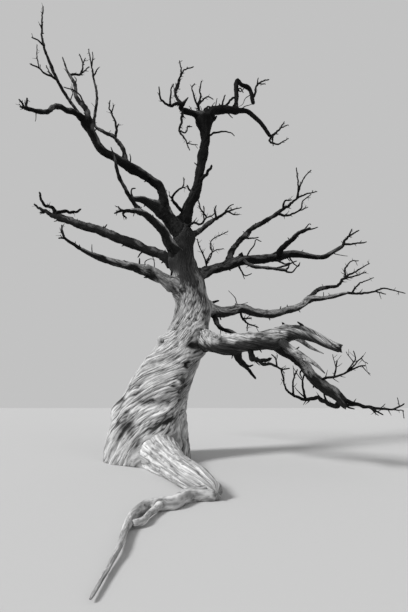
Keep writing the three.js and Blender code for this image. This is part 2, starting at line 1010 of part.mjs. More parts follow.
function growMass(mass) {
  const random = seededBy(mass.name);
  const stem = pathFrom(startOf(mass), mass.legs);
  paths[mass.name] = stem;
  const stems = [{ path: stem, girth: mass.girth, rings: mass.legs.length }];
  for (const arm of mass.arms) {
    const thick = along(mass.girth, arm.at) * armShare;
    const path = pathFrom(stem.getPointAt(arm.at), arm.legs);
    const tip = Math.min(mass.girth[1], thick * armTipShare);
    stems.push({ path, girth: [thick, tip], rings: arm.legs.length });
  }
  const space = new THREE.Box3();
  const full = [];
  const wide = [];
  for (const { path, girth, rings } of stems) {
    space.union(new THREE.Box3().setFromPoints(path.getPoints(rings * 2)));
    const radiusAt = (share) => along(girth, share);
    full.push(sweep(path, radiusAt, twigSides, rings, 0));
    wide.push(sweep(path, radiusAt, twigSides, rings, gap));
  }
  space.expandByScalar(spaceMargin);
  const others = solids.map((standing) => standing.grown);
  for (const { path, girth } of stems) {
    full.push(...shootsOn(path, girth, mass.shootScale, random, space, others));
  }
  const joined = fitted(wasm.Manifold.union(full));
  solids.push({
    name: mass.name,
    colour: twigBark,
    solid: joined,
    grown: wasm.Manifold.union([joined, ...wide]),
  });
}

const regions = [
  { limbs: [trunk], masses: [] },
  { limbs: upperLimbs, masses: upperMasses },
  { limbs: leftLimbs, masses: leftMasses },
  { limbs: rightLimbs, masses: rightMasses },
  { limbs: lowLimbs, masses: lowMasses },
  { limbs: roots, masses: [] },
];

regions.forEach(({ limbs }) => limbs.forEach(growLimb));
carveHollows();
regions.forEach(({ masses }) => masses.forEach(growMass));

const tree = new THREE.Group();
tree.name = 'dead_tree';
for (const { limbs, masses } of regions) {
  const region = new THREE.Group();
  for (const { name } of [...limbs, ...masses]) {
    region.add(meshOf(solids.find((standing) => standing.name === name)));
  }
  tree.add(region);
}

export default tree;
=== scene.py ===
# The dead tree's looks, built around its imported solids. Metres, Z up, the trunk's foot at the origin.
# Limbs are given in millimetres and degrees, as in the part's own source: each leg is
# (length, heading, rise), heading 0 to the right, 90 to the back, 180 to the left, 270 to the front.
import math

import bpy
import numpy as np
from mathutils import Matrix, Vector


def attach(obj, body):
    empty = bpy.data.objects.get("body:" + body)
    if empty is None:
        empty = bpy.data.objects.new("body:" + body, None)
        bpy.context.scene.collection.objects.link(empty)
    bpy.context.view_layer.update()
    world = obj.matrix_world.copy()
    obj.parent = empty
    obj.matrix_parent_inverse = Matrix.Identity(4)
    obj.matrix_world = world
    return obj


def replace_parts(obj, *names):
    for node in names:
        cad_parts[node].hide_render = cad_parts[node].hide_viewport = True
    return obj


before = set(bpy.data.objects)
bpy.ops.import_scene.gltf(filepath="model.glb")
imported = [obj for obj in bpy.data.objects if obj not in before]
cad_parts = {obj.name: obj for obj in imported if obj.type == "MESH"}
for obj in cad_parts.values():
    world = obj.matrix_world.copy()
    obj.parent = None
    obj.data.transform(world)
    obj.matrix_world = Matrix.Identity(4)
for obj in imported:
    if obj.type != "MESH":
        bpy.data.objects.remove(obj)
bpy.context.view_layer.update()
mm = 0.001


# The camera stands where the photograph was taken from, and looks up a little.
cameraSetup = {
    "place": (0.73, -5.0, 0.70),
    "tilt": 16.234,
    "lens": 20,
    "sensor": 36,
    "farthest": 200,
}
bpy.ops.object.select_all(action="DESELECT")
bpy.ops.object.camera_add(
    location=cameraSetup["place"],
    rotation=(math.radians(90 + cameraSetup["tilt"]), 0, 0),
)
camera = bpy.context.object
camera.name = "photo_camera"
camera.data.lens = cameraSetup["lens"]
camera.data.sensor_width = cameraSetup["sensor"]
camera.data.clip_end = cameraSetup["farthest"]
camera.data.dof.use_dof = False
bpy.context.scene.camera = camera
print("camera set")


# Shader maths: a wire wraps a socket, so that values read as plain expressions.
class Wire:
    def __init__(self, finish, socket):
        self.finish = finish
        self.socket = socket

    def __add__(self, other):
        return self.finish.maths("ADD", self, other)

    def __sub__(self, other):
        return self.finish.maths("SUBTRACT", self, other)

    def __mul__(self, other):
        return self.finish.maths("MULTIPLY", self, other)


class Finish:
    def __init__(self, name):
        self.material = bpy.data.materials.new(name)
        self.material.use_nodes = True
        self.nodes = self.material.node_tree.nodes
        self.links = self.material.node_tree.links
        self.shader = self.nodes["Principled BSDF"]

    # Any node: its settings go first, then the values or wires of its sockets.
    def node(self, kind, settings, sockets, output=0):
        made = self.nodes.new(kind)
        for key, value in settings.items():
            setattr(made, key, value)
        for key, value in sockets.items():
            self.plug(made.inputs[key], value)
        return Wire(self, made.outputs[output])

    def plug(self, socket, value):
        if isinstance(value, Wire):
            self.links.new(value.socket, socket)
        else:
            socket.default_value = value

    def maths(self, operation, one, other):
        return self.node("ShaderNodeMath", {"operation": operation}, {0: one, 1: other})

    def blend(self, mask, one, other):
        return self.node(
            "ShaderNodeMix",
            {"data_type": "RGBA", "clamp_factor": True},
            {"Factor": mask, 6: one, 7: other},
            output=2,
        )

    # A smooth step of a value from one level to another.
    def between(self, value, low, high):
        return self.node(
            "ShaderNodeMapRange",
            {"interpolation_type": "SMOOTHSTEP"},
            {"Value": value, "From Min": low, "From Max": high},
        )

    def noise(self, vector, scale, detail, roughness):
        return self.node(
            "ShaderNodeTexNoise",
            {},
            {"Vector": vector, "Scale": scale, "Detail": detail, "Roughness": roughness},
        )

    def attribute(self, name, output):
        return self.node("ShaderNodeAttribute", {"attribute_name": name}, {}, output)


def grey(value):
    return (value, value, value, 1)


# How each kind of wood looks: its greys, how coarse its streaks are and how deep they stand. The crack
# grey is painted shade in hollows, and also the dark of the fine fibre lines.
woodLooks = {
    "paleWood": {
        "bare": 0.62, "shade": 0.20, "bark": 0.022, "barkShade": 0.006, "crackShade": 0.008,
        "streaks": 38, "fibres": 160, "roughness": 0.74, "depth": 0.007, "shine": 0.25,
    },
    "weatheredWood": {
        "bare": 0.44, "shade": 0.12, "bark": 0.014, "barkShade": 0.005, "crackShade": 0.003,
        "streaks": 52, "fibres": 190, "roughness": 0.8, "depth": 0.005, "shine": 0.15,
    },
    # The dark-bark and twig greys are near black: dark bark, and painted shade of limbs lit from behind
    # by the sky.
    "darkBark": {
        "bare": 0.13, "shade": 0.03, "bark": 0.009, "barkShade": 0.003, "crackShade": 0.002,
        "streaks": 60, "fibres": 210, "roughness": 0.86, "depth": 0.005, "shine": 0.08,
    },
    "twigBarkAndShade": {
        "bare": 0.03, "shade": 0.014, "bark": 0.009, "barkShade": 0.004, "crackShade": 0.002,
        "streaks": 90, "fibres": 260, "roughness": 0.88, "depth": 0.002, "shine": 0.08,
    },
}

# The patterns of all woods: each noise's scale where they share it, its detail and roughness, and
# the levels between which it counts. The mix says how much each counts in colour and relief.
woodPatterns = {
    "streaks": {"noise": (4, 0.6), "levels": (0.36, 0.66)},
    "fibres": {"noise": (3, 0.55), "levels": (0.42, 0.3)},
    "mottle": {"scale": 4.5, "noise": (3, 0.55), "levels": (0.36, 0.64)},
    "flecks": {"scale": 38, "noise": (3, 0.6), "levels": (0.5, 0.68)},
    "bark": {"levels": (0.25, 0.75)},
}
woodMix = {
    "bareStreaks": 0.75, "barkStreaks": 0.5, "edgeMottle": 0.35, "edgeStreaks": 0.3,
    "fibres": 0.45, "relief": 0.8, "fibreRelief": 0.5,
}


# The streaks follow the grain that each limb carries in its mesh: across it and along it, in metres.
def woodFinish(name, look):
    finish = Finish(name)
    grain = finish.attribute("grain", "Vector")
    # The hollow amount is painted shade: furrows, splits, pits, knot holes, creases and the joins of
    # limbs are darkened towards the crack grey.
    hollowShade = finish.attribute("hollowShade", "Fac")
    # The bark amount is bark, and also painted shade on the undersides and in some patches.
    bark = finish.attribute("bark", "Fac")
    place = finish.node("ShaderNodeTexCoord", {}, {}, "Object")

    def noise(kind, places, scale):
        return finish.noise(places, scale, *woodPatterns[kind]["noise"])

    def level(kind, value):
        return finish.between(value, *woodPatterns[kind]["levels"])

    streaks = level("streaks", noise("streaks", grain, look["streaks"]))
    fibres = noise("fibres", grain, look["fibres"])
    mottle = level("mottle", noise("mottle", place, woodPatterns["mottle"]["scale"]))
    flecks = level("flecks", noise("flecks", place, woodPatterns["flecks"]["scale"]))
    bareMix = streaks * woodMix["bareStreaks"] + mottle * (1 - woodMix["bareStreaks"])
    bare = finish.blend(bareMix, grey(look["shade"]), grey(look["bare"]))
    barkMix = streaks * woodMix["barkStreaks"] + flecks * (1 - woodMix["barkStreaks"])
    rind = finish.blend(barkMix, grey(look["barkShade"]), grey(look["bark"]))
    ragged = bark + (mottle - 0.5) * woodMix["edgeMottle"]
    patchy = level("bark", ragged + (streaks - 0.5) * woodMix["edgeStreaks"])
    wood = finish.blend(patchy, bare, rind)
    fine = finish.blend(level("fibres", fibres) * woodMix["fibres"], wood, grey(look["crackShade"]))
    # Painted shade in the hollows.
    colour = finish.blend(hollowShade, fine, grey(look["crackShade"]))
    finish.plug(finish.shader.inputs["Base Color"], colour)
    finish.shader.inputs["Roughness"].default_value = look["roughness"]
    finish.shader.inputs["Specular IOR Level"].default_value = look["shine"]
    height = streaks + fibres * woodMix["fibreRelief"]
    sockets = {"Strength": woodMix["relief"], "Distance": look["depth"], "Height": height}
    relief = finish.node("ShaderNodeBump", {}, sockets)
    finish.plug(finish.shader.inputs["Normal"], relief)
    return finish.material


woods = {name: woodFinish(name, look) for name, look in woodLooks.items()}
print("wood finishes made:", len(woods))


# Where one leg of a limb leads: from length, heading and rise to metres along X, Y and Z.
def stepOf(leg):
    length, heading, rise = leg[0] * mm, math.radians(leg[1]), math.radians(leg[2])
    level = length * math.cos(rise)
    return np.array([level * math.cos(heading), level * math.sin(heading), length * math.sin(rise)])


# A smooth curve through a limb's knees, at marks from 0 at its foot to 1 at its tip.
def splineAt(knees, marks):
    last = len(knees) - 1
    place = np.clip(marks, 0, 1) * last
    before = np.minimum(place.astype(int), last - 1)
    part = (place - before)[:, None]
    wider = np.vstack([2 * knees[0] - knees[1], knees, 2 * knees[-1] - knees[-2]])
    p0, p1, p2, p3 = (wider[before + step] for step in range(4))
    leave, arrive = (p2 - p0) / 2, (p3 - p1) / 2
    square = (3 * (p2 - p1) - 2 * leave - arrive) * part**2
    return p1 + leave * part + square + (2 * (p1 - p2) + leave + arrive) * part**3


# That curve measured by length from foot to tip, so that a share of it is a share of the limb.
class LimbPath:
    markCount = 201
    nudge = 1e-4

    def __init__(self, knees):
        self.knees = np.asarray(knees, float)
        self.marks = np.linspace(0, 1, self.markCount)
        steps = np.diff(splineAt(self.knees, self.marks), axis=0)
        self.reached = np.concatenate([[0], np.cumsum(np.linalg.norm(steps, axis=1))])
        self.length = self.reached[-1]

    def along(self, shares):
        reach = np.atleast_1d(shares) * self.length
        return splineAt(self.knees, np.interp(reach, self.reached, self.marks))

    def pointAt(self, share):
        return self.along(share)[0]

    def wayAt(self, share):
        mark = np.interp(share * self.length, self.reached, self.marks)
        beside = np.array([max(mark - self.nudge, 0), min(mark + self.nudge, 1)])
        ends = splineAt(self.knees, beside)
        return unit(ends[1] - ends[0])


leastLength = 1e-12  # A vector of no length would divide by nothing.


def unit(vector):
    return vector / max(np.linalg.norm(vector), leastLength)


def pathFrom(start, legs):
    steps = np.cumsum([stepOf(leg) for leg in legs], axis=0)
    return LimbPath(np.vstack([start, start + steps]))


# The value at a share of the way along an evenly spaced list.
def spread(values, shares):
    return np.interp(shares, np.linspace(0, 1, len(values)), values)


# A direction that no limb sets out along, to square the first ring of a path by.
squareStart = (0.31, 0.9, 0.29)


# Two directions square to a path at each of its rings, carried along without a twist.
def framesOf(centres):
    ways = np.gradient(centres, axis=0)
    ways /= np.linalg.norm(ways, axis=1)[:, None]
    sides = np.zeros_like(ways)
    sides[0] = unit(np.cross(ways[0], squareStart))
    for ring in range(1, len(ways)):
        sides[ring] = unit(sides[ring - 1] - ways[ring] * np.dot(sides[ring - 1], ways[ring]))
    return ways, sides, np.cross(ways, sides)


# The slopes that smooth noise has at the corners of its cells.
noiseLeans = np.array(
    [(x, y, 0) for x in (1, -1) for y in (1, -1)]
    + [(x, 0, z) for x in (1, -1) for z in (1, -1)]
    + [(0, y, z) for y in (1, -1) for z in (1, -1)]
    + [(1, 1, 0), (-1, 1, 0), (0, -1, 1), (0, -1, -1)],
    float,
)


# The large numbers only mix the bits of a cell's place and of the salt, so that the slopes at its
# corners look random and are the same each run. The gain brings the noise to about -1 to 1.
noiseRule = {
    "mixers": np.array([374761393, 668265263, 2246822519], np.uint32),
    "salt": (97531, 12345),
    "stirs": ((15, 2654435761), (13, 1274126177)),
    "lastShift": 16,
    "gain": 1.25,
}


# Smooth noise at each of a list of places.
def noiseAt(places, salt):
    whole = np.floor(places).astype(np.int64)
    part = places - whole
    fade = part**3 * (part * (part * 6 - 15) + 10)
    total = np.zeros(len(places))
    times, plus = noiseRule["salt"]
    for corner in range(8):
        step = np.array([corner & 1, corner >> 1 & 1, corner >> 2 & 1])
        cell = (whole + step).astype(np.uint32)
        mixed = (cell * noiseRule["mixers"]).sum(axis=1, dtype=np.uint32)
        mixed += np.uint32(salt * times + plus)
        for shift, mixer in noiseRule["stirs"]:
            mixed = (mixed ^ (mixed >> np.uint32(shift))) * np.uint32(mixer)
        mixed = mixed ^ (mixed >> np.uint32(noiseRule["lastShift"]))
        lean = noiseLeans[mixed % np.uint32(len(noiseLeans))]
        weight = np.where(step, fade, 1 - fade).prod(axis=1)
        total += weight * (lean * (part - step)).sum(axis=1)
    return total * noiseRule["gain"]


# A smooth step from 0 to 1 between two levels, or from 1 to 0 where the first is the higher.
def stepUp(values, low, high):
    part = np.clip((values - low) / (high - low), 0, 1)
    return part * part * (3 - 2 * part)


seedRule = {"first": 7, "letter": 31, "times": 1664525, "plus": 1013904223, "range": 2**32}


# Numbers between two limits, in a row that the name seeds, by the same rule as in the source.
def seededBy(name):
    state = [seedRule["first"]]
    for letter in name:
        state[0] = (state[0] * seedRule["letter"] + ord(letter)) % seedRule["range"]

    def between(low, high):
        state[0] = (state[0] * seedRule["times"] + seedRule["plus"]) % seedRule["range"]
        return low + (high - low) * state[0] / seedRule["range"]

    return between


# How each kind of limb is built: the mesh's own fineness, how its grain winds (radians a metre),
# how deep its ropes, folds, lines and splits stand as a share of its radius, how lumpy and how
# crooked it is, and how far the wood has bark. A list runs evenly from the limb's foot to its tip:
# "rough" scales the relief there, and "pits" says how pocked the wood is. The furrow shade key is
# painted shade that darkens the furrows, and "stretch" makes the streaks longer. The under shade key
# paints shade on the underside in bark's dark grey, and "barkBreaks" makes the bark's edges patchy.
# "collar" widens the limb where it leaves the one below, "tipRound" draws its end in, and small
# knots come every so many millimetres.
limbLooks = {
    "paleWood": {
        "spacing": 11, "turn": [2.4], "ropes": 0.12, "folds": 0.07, "lines": 0.02, "splits": 0.05,
        "gnarl": 0.05, "wander": 0.0, "bark": [0.0], "underShade": 0.0, "collar": 0.3,
        "knotEvery": 420, "barkBreaks": 0.25, "pits": [0.0], "tipRound": 0.28, "stretch": 1,
        "dimples": 0.02, "rough": [1], "furrowShade": 1,
    },
    "weatheredWood": {
        "spacing": 12, "turn": [1.6], "ropes": 0.14, "folds": 0.08, "lines": 0.03, "splits": 0.05,
        "gnarl": 0.22, "wander": 0.22, "bark": [0.1], "underShade": 1.0, "collar": 0.3,
        "knotEvery": 330, "barkBreaks": 0.5, "pits": [0.1], "tipRound": 0.28, "stretch": 1,
        "dimples": 0.08, "rough": [1], "furrowShade": 1,
    },
    "darkBark": {
        "spacing": 13, "turn": [1.0], "ropes": 0.13, "folds": 0.09, "lines": 0.03, "splits": 0.04,
        "gnarl": 0.28, "wander": 0.25, "bark": [0.4], "underShade": 0.8, "collar": 0.35,
        "knotEvery": 300, "barkBreaks": 0.6, "pits": [0.1], "tipRound": 0.28, "stretch": 1,
        "dimples": 0.08, "rough": [1], "furrowShade": 1,
    },
}

# The grain's sizes across and along, in millimetres, on a limb of this radius; it is finer on a
# thinner one. The streaks of colour are squeezed along the limb, which draws them out. The shifts
# keep one pattern from falling where another does.
grainSizes = {
    "radius": 350,
    "finer": 0.55,
    "ropes": (190, 1300),
    "folds": (66, 560),
    "lines": (34, 380),
    "splits": (85, 800),
    "patches": (260, 420),
    "squeeze": 0.13,
    "shift": 7.3,
    "colourShift": 0.37,
}

# A furrow runs wherever its noise is near nothing. It closes between the first two levels, and its
# line of painted shade fades between the other two. "level" is the height that counts as level
# wood, the furrow shade key is how dark that painted shade is in fibrous wood, and "plain" the share
# of that in plain wood.
furrows = {
    "ropes": {"closes": (-0.1, 0.45), "level": 0.55, "dark": (0.0, 0.08), "furrowShade": 0.5, "plain": 0.2},
    "folds": {"closes": (-0.08, 0.34), "level": 0.55, "dark": (0.01, 0.10), "furrowShade": 1.0, "plain": 0.5},
    "lines": {"closes": (-0.05, 0.3), "level": 0.5, "dark": (0.0, 0.12), "furrowShade": 0.8, "plain": 0.3},
}
# Splits open in some patches of the wood, and other patches are the fibrous ones. A split is darkened
# with painted shade.
splitShape = {"seed": 4, "open": (0.01, 0.06), "where": (-0.1, 0.2), "furrowShade": 0.8}
patchShape = {"seed": 5, "fibrous": (0.35, -0.25)}

# The small bends of dead wood: how long they are and how far they go, as shares of the radius, and
# where they start and end, in metres from the limb's foot and tip.
bendShape = {
    "length": 7, "amount": 1.6, "foot": (0.05, 0.45), "tip": (0.0, 0.3), "seeds": (0.37, 0.61),
}

# Knots: how far they reach, how a hole and a knob stand in the wood and how dark the painted shade in
# the hole and in the crease round the knob is, all as shares of the knot's size, and how the seeded
# small ones are dealt out.
knotShape = {
    "reach": 7, "pull": 4,
    "pit": 1.15, "pitEdge": 0.9, "pitDepth": 0.9, "holeShade": 1.2,
    "rim": 1.45, "rimWidth": 0.38, "rimHeight": 0.3,
    "crease": 1.5, "creaseWidth": 0.28, "creaseDepth": 0.12, "creaseShade": 0.55, "knob": 0.62,
    "play": (0.1, 0.9), "size": (0.26, 0.5), "holes": 0.35, "forkSize": 1.15, "lastFork": 0.975,
}

# The swelling of the wood round a limb that it carries, the line of painted shade where they meet,
# and the collar at that limb's own foot.
forkShape = {
    "along": 2.5, "reach": 4, "height": 0.42, "fade": 0.5, "dark": 0.3, "shadeWidth": 0.25,
    "collarLength": 1.3,
}
# Lumps and dimples are sized by the limb's radius, and a dimple has a least size, in metres.
lumpShape = {"size": 2.6, "dimples": 0.22, "leastDimple": 0.02}
# Pits: their size and depth in millimetres, the noise at which they open and are full, how much
# sooner they open in pocked wood and how pocked it is where they are deepest, how dark the painted
# shade in them is, and the radius in metres below which they are shallower, down to a share.
pitShape = {
    "size": 42, "depth": 13, "least": 0.62, "full": 0.8, "easier": 0.5, "deepest": 0.5,
    "dark": 0.95, "radius": 0.15, "thin": 0.3,
}
# How fine and how long the splinters of a broken end are, and how far from its tip a broken end
# and a rounded one begin, in radii.
endShape = {"jags": 1.8, "length": 1.5, "broken": 3, "rounded": 0.9}
# How fine a limb's mesh is, round it and along it. The width of a side is in metres.
meshRule = {"leastRings": 24, "sideWidth": 0.009, "leastSides": 18, "mostSides": 96}
ringSkips = {"exit": 3, "fork": 2, "clear": 4}  # Tests of nearness take only every so many rings.
# How much painted shade darkens a crease where it dips in.
creaseShade = 0.62
# Painted shade: bark's dark grey is laid on the undersides of limbs, between these two levels.
underShadeLevels = (-0.45, 0.8)  # How far down a side faces where underShade starts, and where it is full.
# Salts set one noise apart from another: each limb has its own, and each use of it adds to that.
saltOf = {"limb": 31, "firstLimb": 5, "lumps": 11, "pits": 13, "jags": 17, "dimples": 19}


def around(angle):
    return (angle + math.pi) % (2 * math.pi) - math.pi


def trunkFlare(shares, headings):
    height = np.clip(1 - shares / trunkFoot["flareTop"], 0, None) ** trunkFoot["flareFade"]
    flare = np.zeros_like(headings)
    for heading, reach, width in trunkFoot["lobes"]:
        aside = np.degrees(around(headings - math.radians(heading))) / width
        flare += reach * np.exp(-(aside**2))
    ribs = np.cos(trunkFoot["ribs"] * headings - trunkFoot["ribTurn"] * shares)
    return 1 + trunkFoot["ribDepth"] * ribs + flare * height


def trunkBurls(shares, headings):
    swelling = np.zeros_like(headings)
    for share, heading, height, span, tall in trunkFoot["burls"]:
        aside = np.degrees(around(headings - math.radians(heading))) / span
        swelling += height * mm * np.exp(-(aside**2) - ((shares - share) / tall) ** 2)
    return swelling


# Every limb's middle line, with the small bends that dead wood has, and its frames and radii.
limbLines = {}


def layOut(limb):
    look = {**limbLooks[limb["finish"]], **limb}
    if "place" in limb:
        start = np.array(limb["place"]) * mm
    else:
        start = paths[limb["grownFrom"]].pointAt(limb["at"])
    path = pathFrom(start, limb["legs"])
    paths[limb["name"]] = path
    rings = max(meshRule["leastRings"], round(path.length / (look["spacing"] * mm)))
    shares = np.linspace(0, 1, rings + 1)
    centres = path.along(shares)
    radii = spread(limb["girth"], shares) * mm
    ways, sides, ups = framesOf(centres)
    reach = shares * path.length
    salt = len(limbLines) * saltOf["limb"] + saltOf["firstLimb"]
    slow = reach / (bendShape["length"] * radii.mean())
    hold = stepUp(reach, *bendShape["foot"]) * stepUp(path.length - reach, *bendShape["tip"])
    hold = hold * look["wander"]
    first, second = bendShape["seeds"]
    for step, square in enumerate((sides, ups)):
        places = np.stack([slow, np.full_like(slow, first + step), np.full_like(slow, second)], 1)
        bend = hold * radii * noiseAt(places, salt + step) * bendShape["amount"]
        centres = centres + square * bend[:, None]
    ways, sides, ups = framesOf(centres)
    turnRate = spread(look["turn"], shares)
    wound = np.concatenate([[0], np.cumsum(turnRate[1:] * np.diff(reach))])
    limbLines[limb["name"]] = {
        "look": look, "path": path, "shares": shares, "reach": reach, "centres": centres,
        "radii": radii, "ways": ways, "sides": sides, "ups": ups, "salt": salt,
        "turnRate": turnRate, "wound": wound,
    }


# Where a limb comes out of the one that carries it, in metres from its foot.
def exitOf(line, carrier):
    centres, radii = carrier["centres"][:: ringSkips["exit"]], carrier["radii"][:: ringSkips["exit"]]
    gaps = np.linalg.norm(line["centres"][:, None] - centres[None], axis=2)
    clear = gaps.min(axis=1) > radii[gaps.argmin(axis=1)]
    return line["reach"][np.argmax(clear)] if clear.any() else 0.0


# Which side of a limb a point lies on. The trunk's turns are headings, any other limb's its own.
def turnOn(line, point, ring, isTrunk):
    out = point - line["centres"][ring]
    if isTrunk:
        return math.atan2(out[1], out[0])
    return math.atan2(np.dot(out, line["ups"][ring]), np.dot(out, line["sides"][ring]))


# Knots: the ones that a limb is given, seeded small ones, and the foot of each limb that it carries.
def knotsOf(name, line):
    look, isTrunk, length = line["look"], name == "trunk", line["path"].length
    knots = []
    for share, heading, size, kind in look.get("knots", []):
        turn = math.radians(heading)
        knots.append({"turn": turn, "reach": share * length, "size": size * mm, "kind": kind})
    random = seededBy(name + "_knots")
    count = round(length / (look["knotEvery"] * mm))
    for index in range(count):
        share = (index + random(*knotShape["play"])) / count
        size = random(*knotShape["size"]) * spread(look["girth"], share) * mm
        kind = "hole" if random(0, 1) < knotShape["holes"] else "knob"
        turn = random(0, 2 * math.pi)
        knots.append({"turn": turn, "reach": share * length, "size": size, "kind": kind})
    for other, child in limbLines.items():
        isCarried = child["look"].get("grownFrom") == name
        if not isCarried or child["look"]["at"] > knotShape["lastFork"]:
            continue
        outAt = exitOf(child, line)
        point = child["path"].pointAt(min(1, outAt / child["path"].length))
        ring = int(np.linalg.norm(line["centres"] - point, axis=1).argmin())
        size = knotShape["forkSize"] * float(np.interp(outAt, child["reach"], child["radii"]))
        knots.append({
            "turn": turnOn(line, point, ring, isTrunk), "reach": line["reach"][ring],
            "size": size, "kind": "limb", "child": other, "outAt": outAt,
        })
    return knots


# The grain flows round each knot as water flows round a post, so this also turns it there.
def knotRelief(knots, turns, reach, radius, turned, slope):
    height, hollowShade = np.zeros_like(turns), np.zeros_like(turns)
    shape = knotShape
    leanCos = 1 / np.sqrt(1 + slope**2)
    leanSin = slope * leanCos
    for knot in knots:
        size = knot["size"]
        near = np.abs(reach - knot["reach"]) < shape["reach"] * size
        if not near.any():
            continue
        over = around(turns[near] - knot["turn"]) * radius[near]
        up = reach[near] - knot["reach"]
        square = over**2 + up**2
        across = over * leanCos[near] - up * leanSin[near]
        pull = size**2 / np.maximum(square, size**2) * np.exp(-square / (shape["pull"] * size) ** 2)
        turned[near] -= across / radius[near] * pull
        away = np.sqrt(square) / size
        if knot["kind"] == "hole":
            pit = stepUp(shape["pit"] - away, 0, shape["pitEdge"])
            rim = np.exp(-(((away - shape["rim"]) / shape["rimWidth"]) ** 2))
            height[near] += size * (shape["rimHeight"] * rim - shape["pitDepth"] * pit)
            # Painted shade in the hole.
            hollowShade[near] += shape["holeShade"] * pit
        elif knot["kind"] == "knob":
            crease = np.exp(-(((away - shape["crease"]) / shape["creaseWidth"]) ** 2))
            height[near] += size * (shape["knob"] * np.exp(-(away**2)) - shape["creaseDepth"] * crease)
            # Painted shade in the crease round the knob.
            hollowShade[near] += shape["creaseShade"] * crease
    return height, hollowShade


# The grain's relief, the painted shade in its furrows, where its streaks run and where its patches lie.
def grainRelief(line, knots, turns, reach, radius):
    look, salt = line["look"], line["salt"]
    meanRadius = float(line["radii"].mean())
    turned = turns - np.interp(reach, line["reach"], line["wound"])
    slope = np.interp(reach, line["reach"], line["turnRate"]) * radius
    height, hollowShade = knotRelief(knots, turns, reach, radius, turned, slope)
    finer = (meanRadius / (grainSizes["radius"] * mm)) ** grainSizes["finer"]

    def cells(kind, seed):
        across, length = grainSizes[kind]
        wide = meanRadius / (across * mm * finer)
        stretch = 1 if kind in ("ropes", "patches") else look["stretch"]
        along = reach / (length * mm * finer * stretch) + seed * grainSizes["shift"]
        places = [np.cos(turned) * wide, np.sin(turned) * wide, along]
        return noiseAt(np.stack(places, 1), salt + seed)

    patches = cells("patches", patchShape["seed"])
    fibrous = stepUp(patches, *patchShape["fibrous"])
    splits = 1 - stepUp(np.abs(cells("splits", splitShape["seed"])), *splitShape["open"])
    splits = splits * stepUp(patches, *splitShape["where"])
    rough = radius * spread(look["rough"], reach / line["path"].length)
    furrowShade = splitShape["furrowShade"] * splits
    height -= rough * look["splits"] * splits
    for seed, (kind, furrow) in enumerate(furrows.items(), 1):
        ridge = np.abs(cells(kind, seed))
        height += rough * look[kind] * (stepUp(ridge, *furrow["closes"]) - furrow["level"])
        dark = 1 - stepUp(ridge, *furrow["dark"])
        furrowShade += furrow["furrowShade"] * dark * (furrow["plain"] + (1 - furrow["plain"]) * fibrous)
    # Painted shade in the furrows and splits.
    hollowShade += look["furrowShade"] * furrowShade
    squeezed = reach * grainSizes["squeeze"] / look["stretch"]
    grain = [np.cos(turned) * meanRadius, np.sin(turned) * meanRadius, squeezed]
    return height, hollowShade, np.stack(grain, 1) + salt * grainSizes["colourShift"], patches


# A rod with a height of one is added and cut into rings, to be bent along its limb.
def rodOf(name, sides, rings):
    bpy.ops.object.select_all(action="DESELECT")
    bpy.ops.mesh.primitive_cylinder_add(vertices=sides, radius=1, depth=1, end_fill_type="NGON")
    rod = bpy.context.object
    rod.name = name
    rod.data.name = name
    corners = cornersOf(rod)
    edges = np.array([edge.vertices[:] for edge in rod.data.edges])
    upright = np.abs(corners[edges[:, 0], 2] - corners[edges[:, 1], 2]) > 0.5
    bpy.ops.object.mode_set(mode="EDIT")
    bpy.ops.mesh.select_mode(type="EDGE")
    bpy.ops.mesh.select_all(action="DESELECT")
    bpy.ops.object.mode_set(mode="OBJECT")
    rod.data.edges.foreach_set("select", upright)
    bpy.ops.object.mode_set(mode="EDIT")
    bpy.ops.mesh.subdivide(number_cuts=rings - 1)
    bpy.ops.object.mode_set(mode="OBJECT")
    return rod


def cornersOf(piece):
    corners = np.zeros(len(piece.data.vertices) * 3)
    piece.data.vertices.foreach_get("co", corners)
    return corners.reshape(-1, 3)


def setAttributes(mesh, grain, hollowShade, bark):
    mesh.attributes.new("grain", "FLOAT_VECTOR", "POINT").data.foreach_set("vector", grain.ravel())
    mesh.attributes.new("hollowShade", "FLOAT", "POINT").data.foreach_set("value", np.clip(hollowShade, 0, 1))
    mesh.attributes.new("bark", "FLOAT", "POINT").data.foreach_set("value", np.clip(bark, 0, 1))


# How much a soft-edged patch counts at each place of a limb, from 0 to 1.
def patchAt(line, turns, reach, share, heading, span, tall):
    off = np.degrees(around(turns - math.radians(heading))) / span
    level = (reach - share * line["path"].length) / (tall * mm)
    return np.exp(-(off**2) - level**2)


# A value on a limb with its patches of more or less of it: (share, heading, span, height, amount).
def patchesOf(line, kind, value, turns, reach):
    for *patch, amount in line["look"].get(kind, []):
        value = value + amount * patchAt(line, turns, reach, *patch)
    return value


# The trunk has its flare and burls, and a limb a collar where it comes out of the one below.
def bodyRadius(line, shares, turns, reach, radius):
    look = line["look"]
    if look["name"] == "trunk":
        return radius * trunkFlare(shares, turns) + trunkBurls(shares, turns)
    if "grownFrom" not in look:
        return radius
    outAt = exitOf(line, limbLines[look["grownFrom"]])
    past = np.clip(reach - outAt, 0, None) / (forkShape["collarLength"] * radius)
    return radius * (1 + look["collar"] * np.exp(-(past**2)))


def pitsOf(line, flat, shares, turns, reach):
    pocked = patchesOf(line, "pitPatches", spread(line["look"]["pits"], shares), turns, reach)
    cells = noiseAt(flat / (pitShape["size"] * mm), line["salt"] + saltOf["pits"])
    pits = stepUp(cells, pitShape["least"] - pitShape["easier"] * pocked, pitShape["full"])
    return pits * np.clip(pocked / pitShape["deepest"], 0, 1)


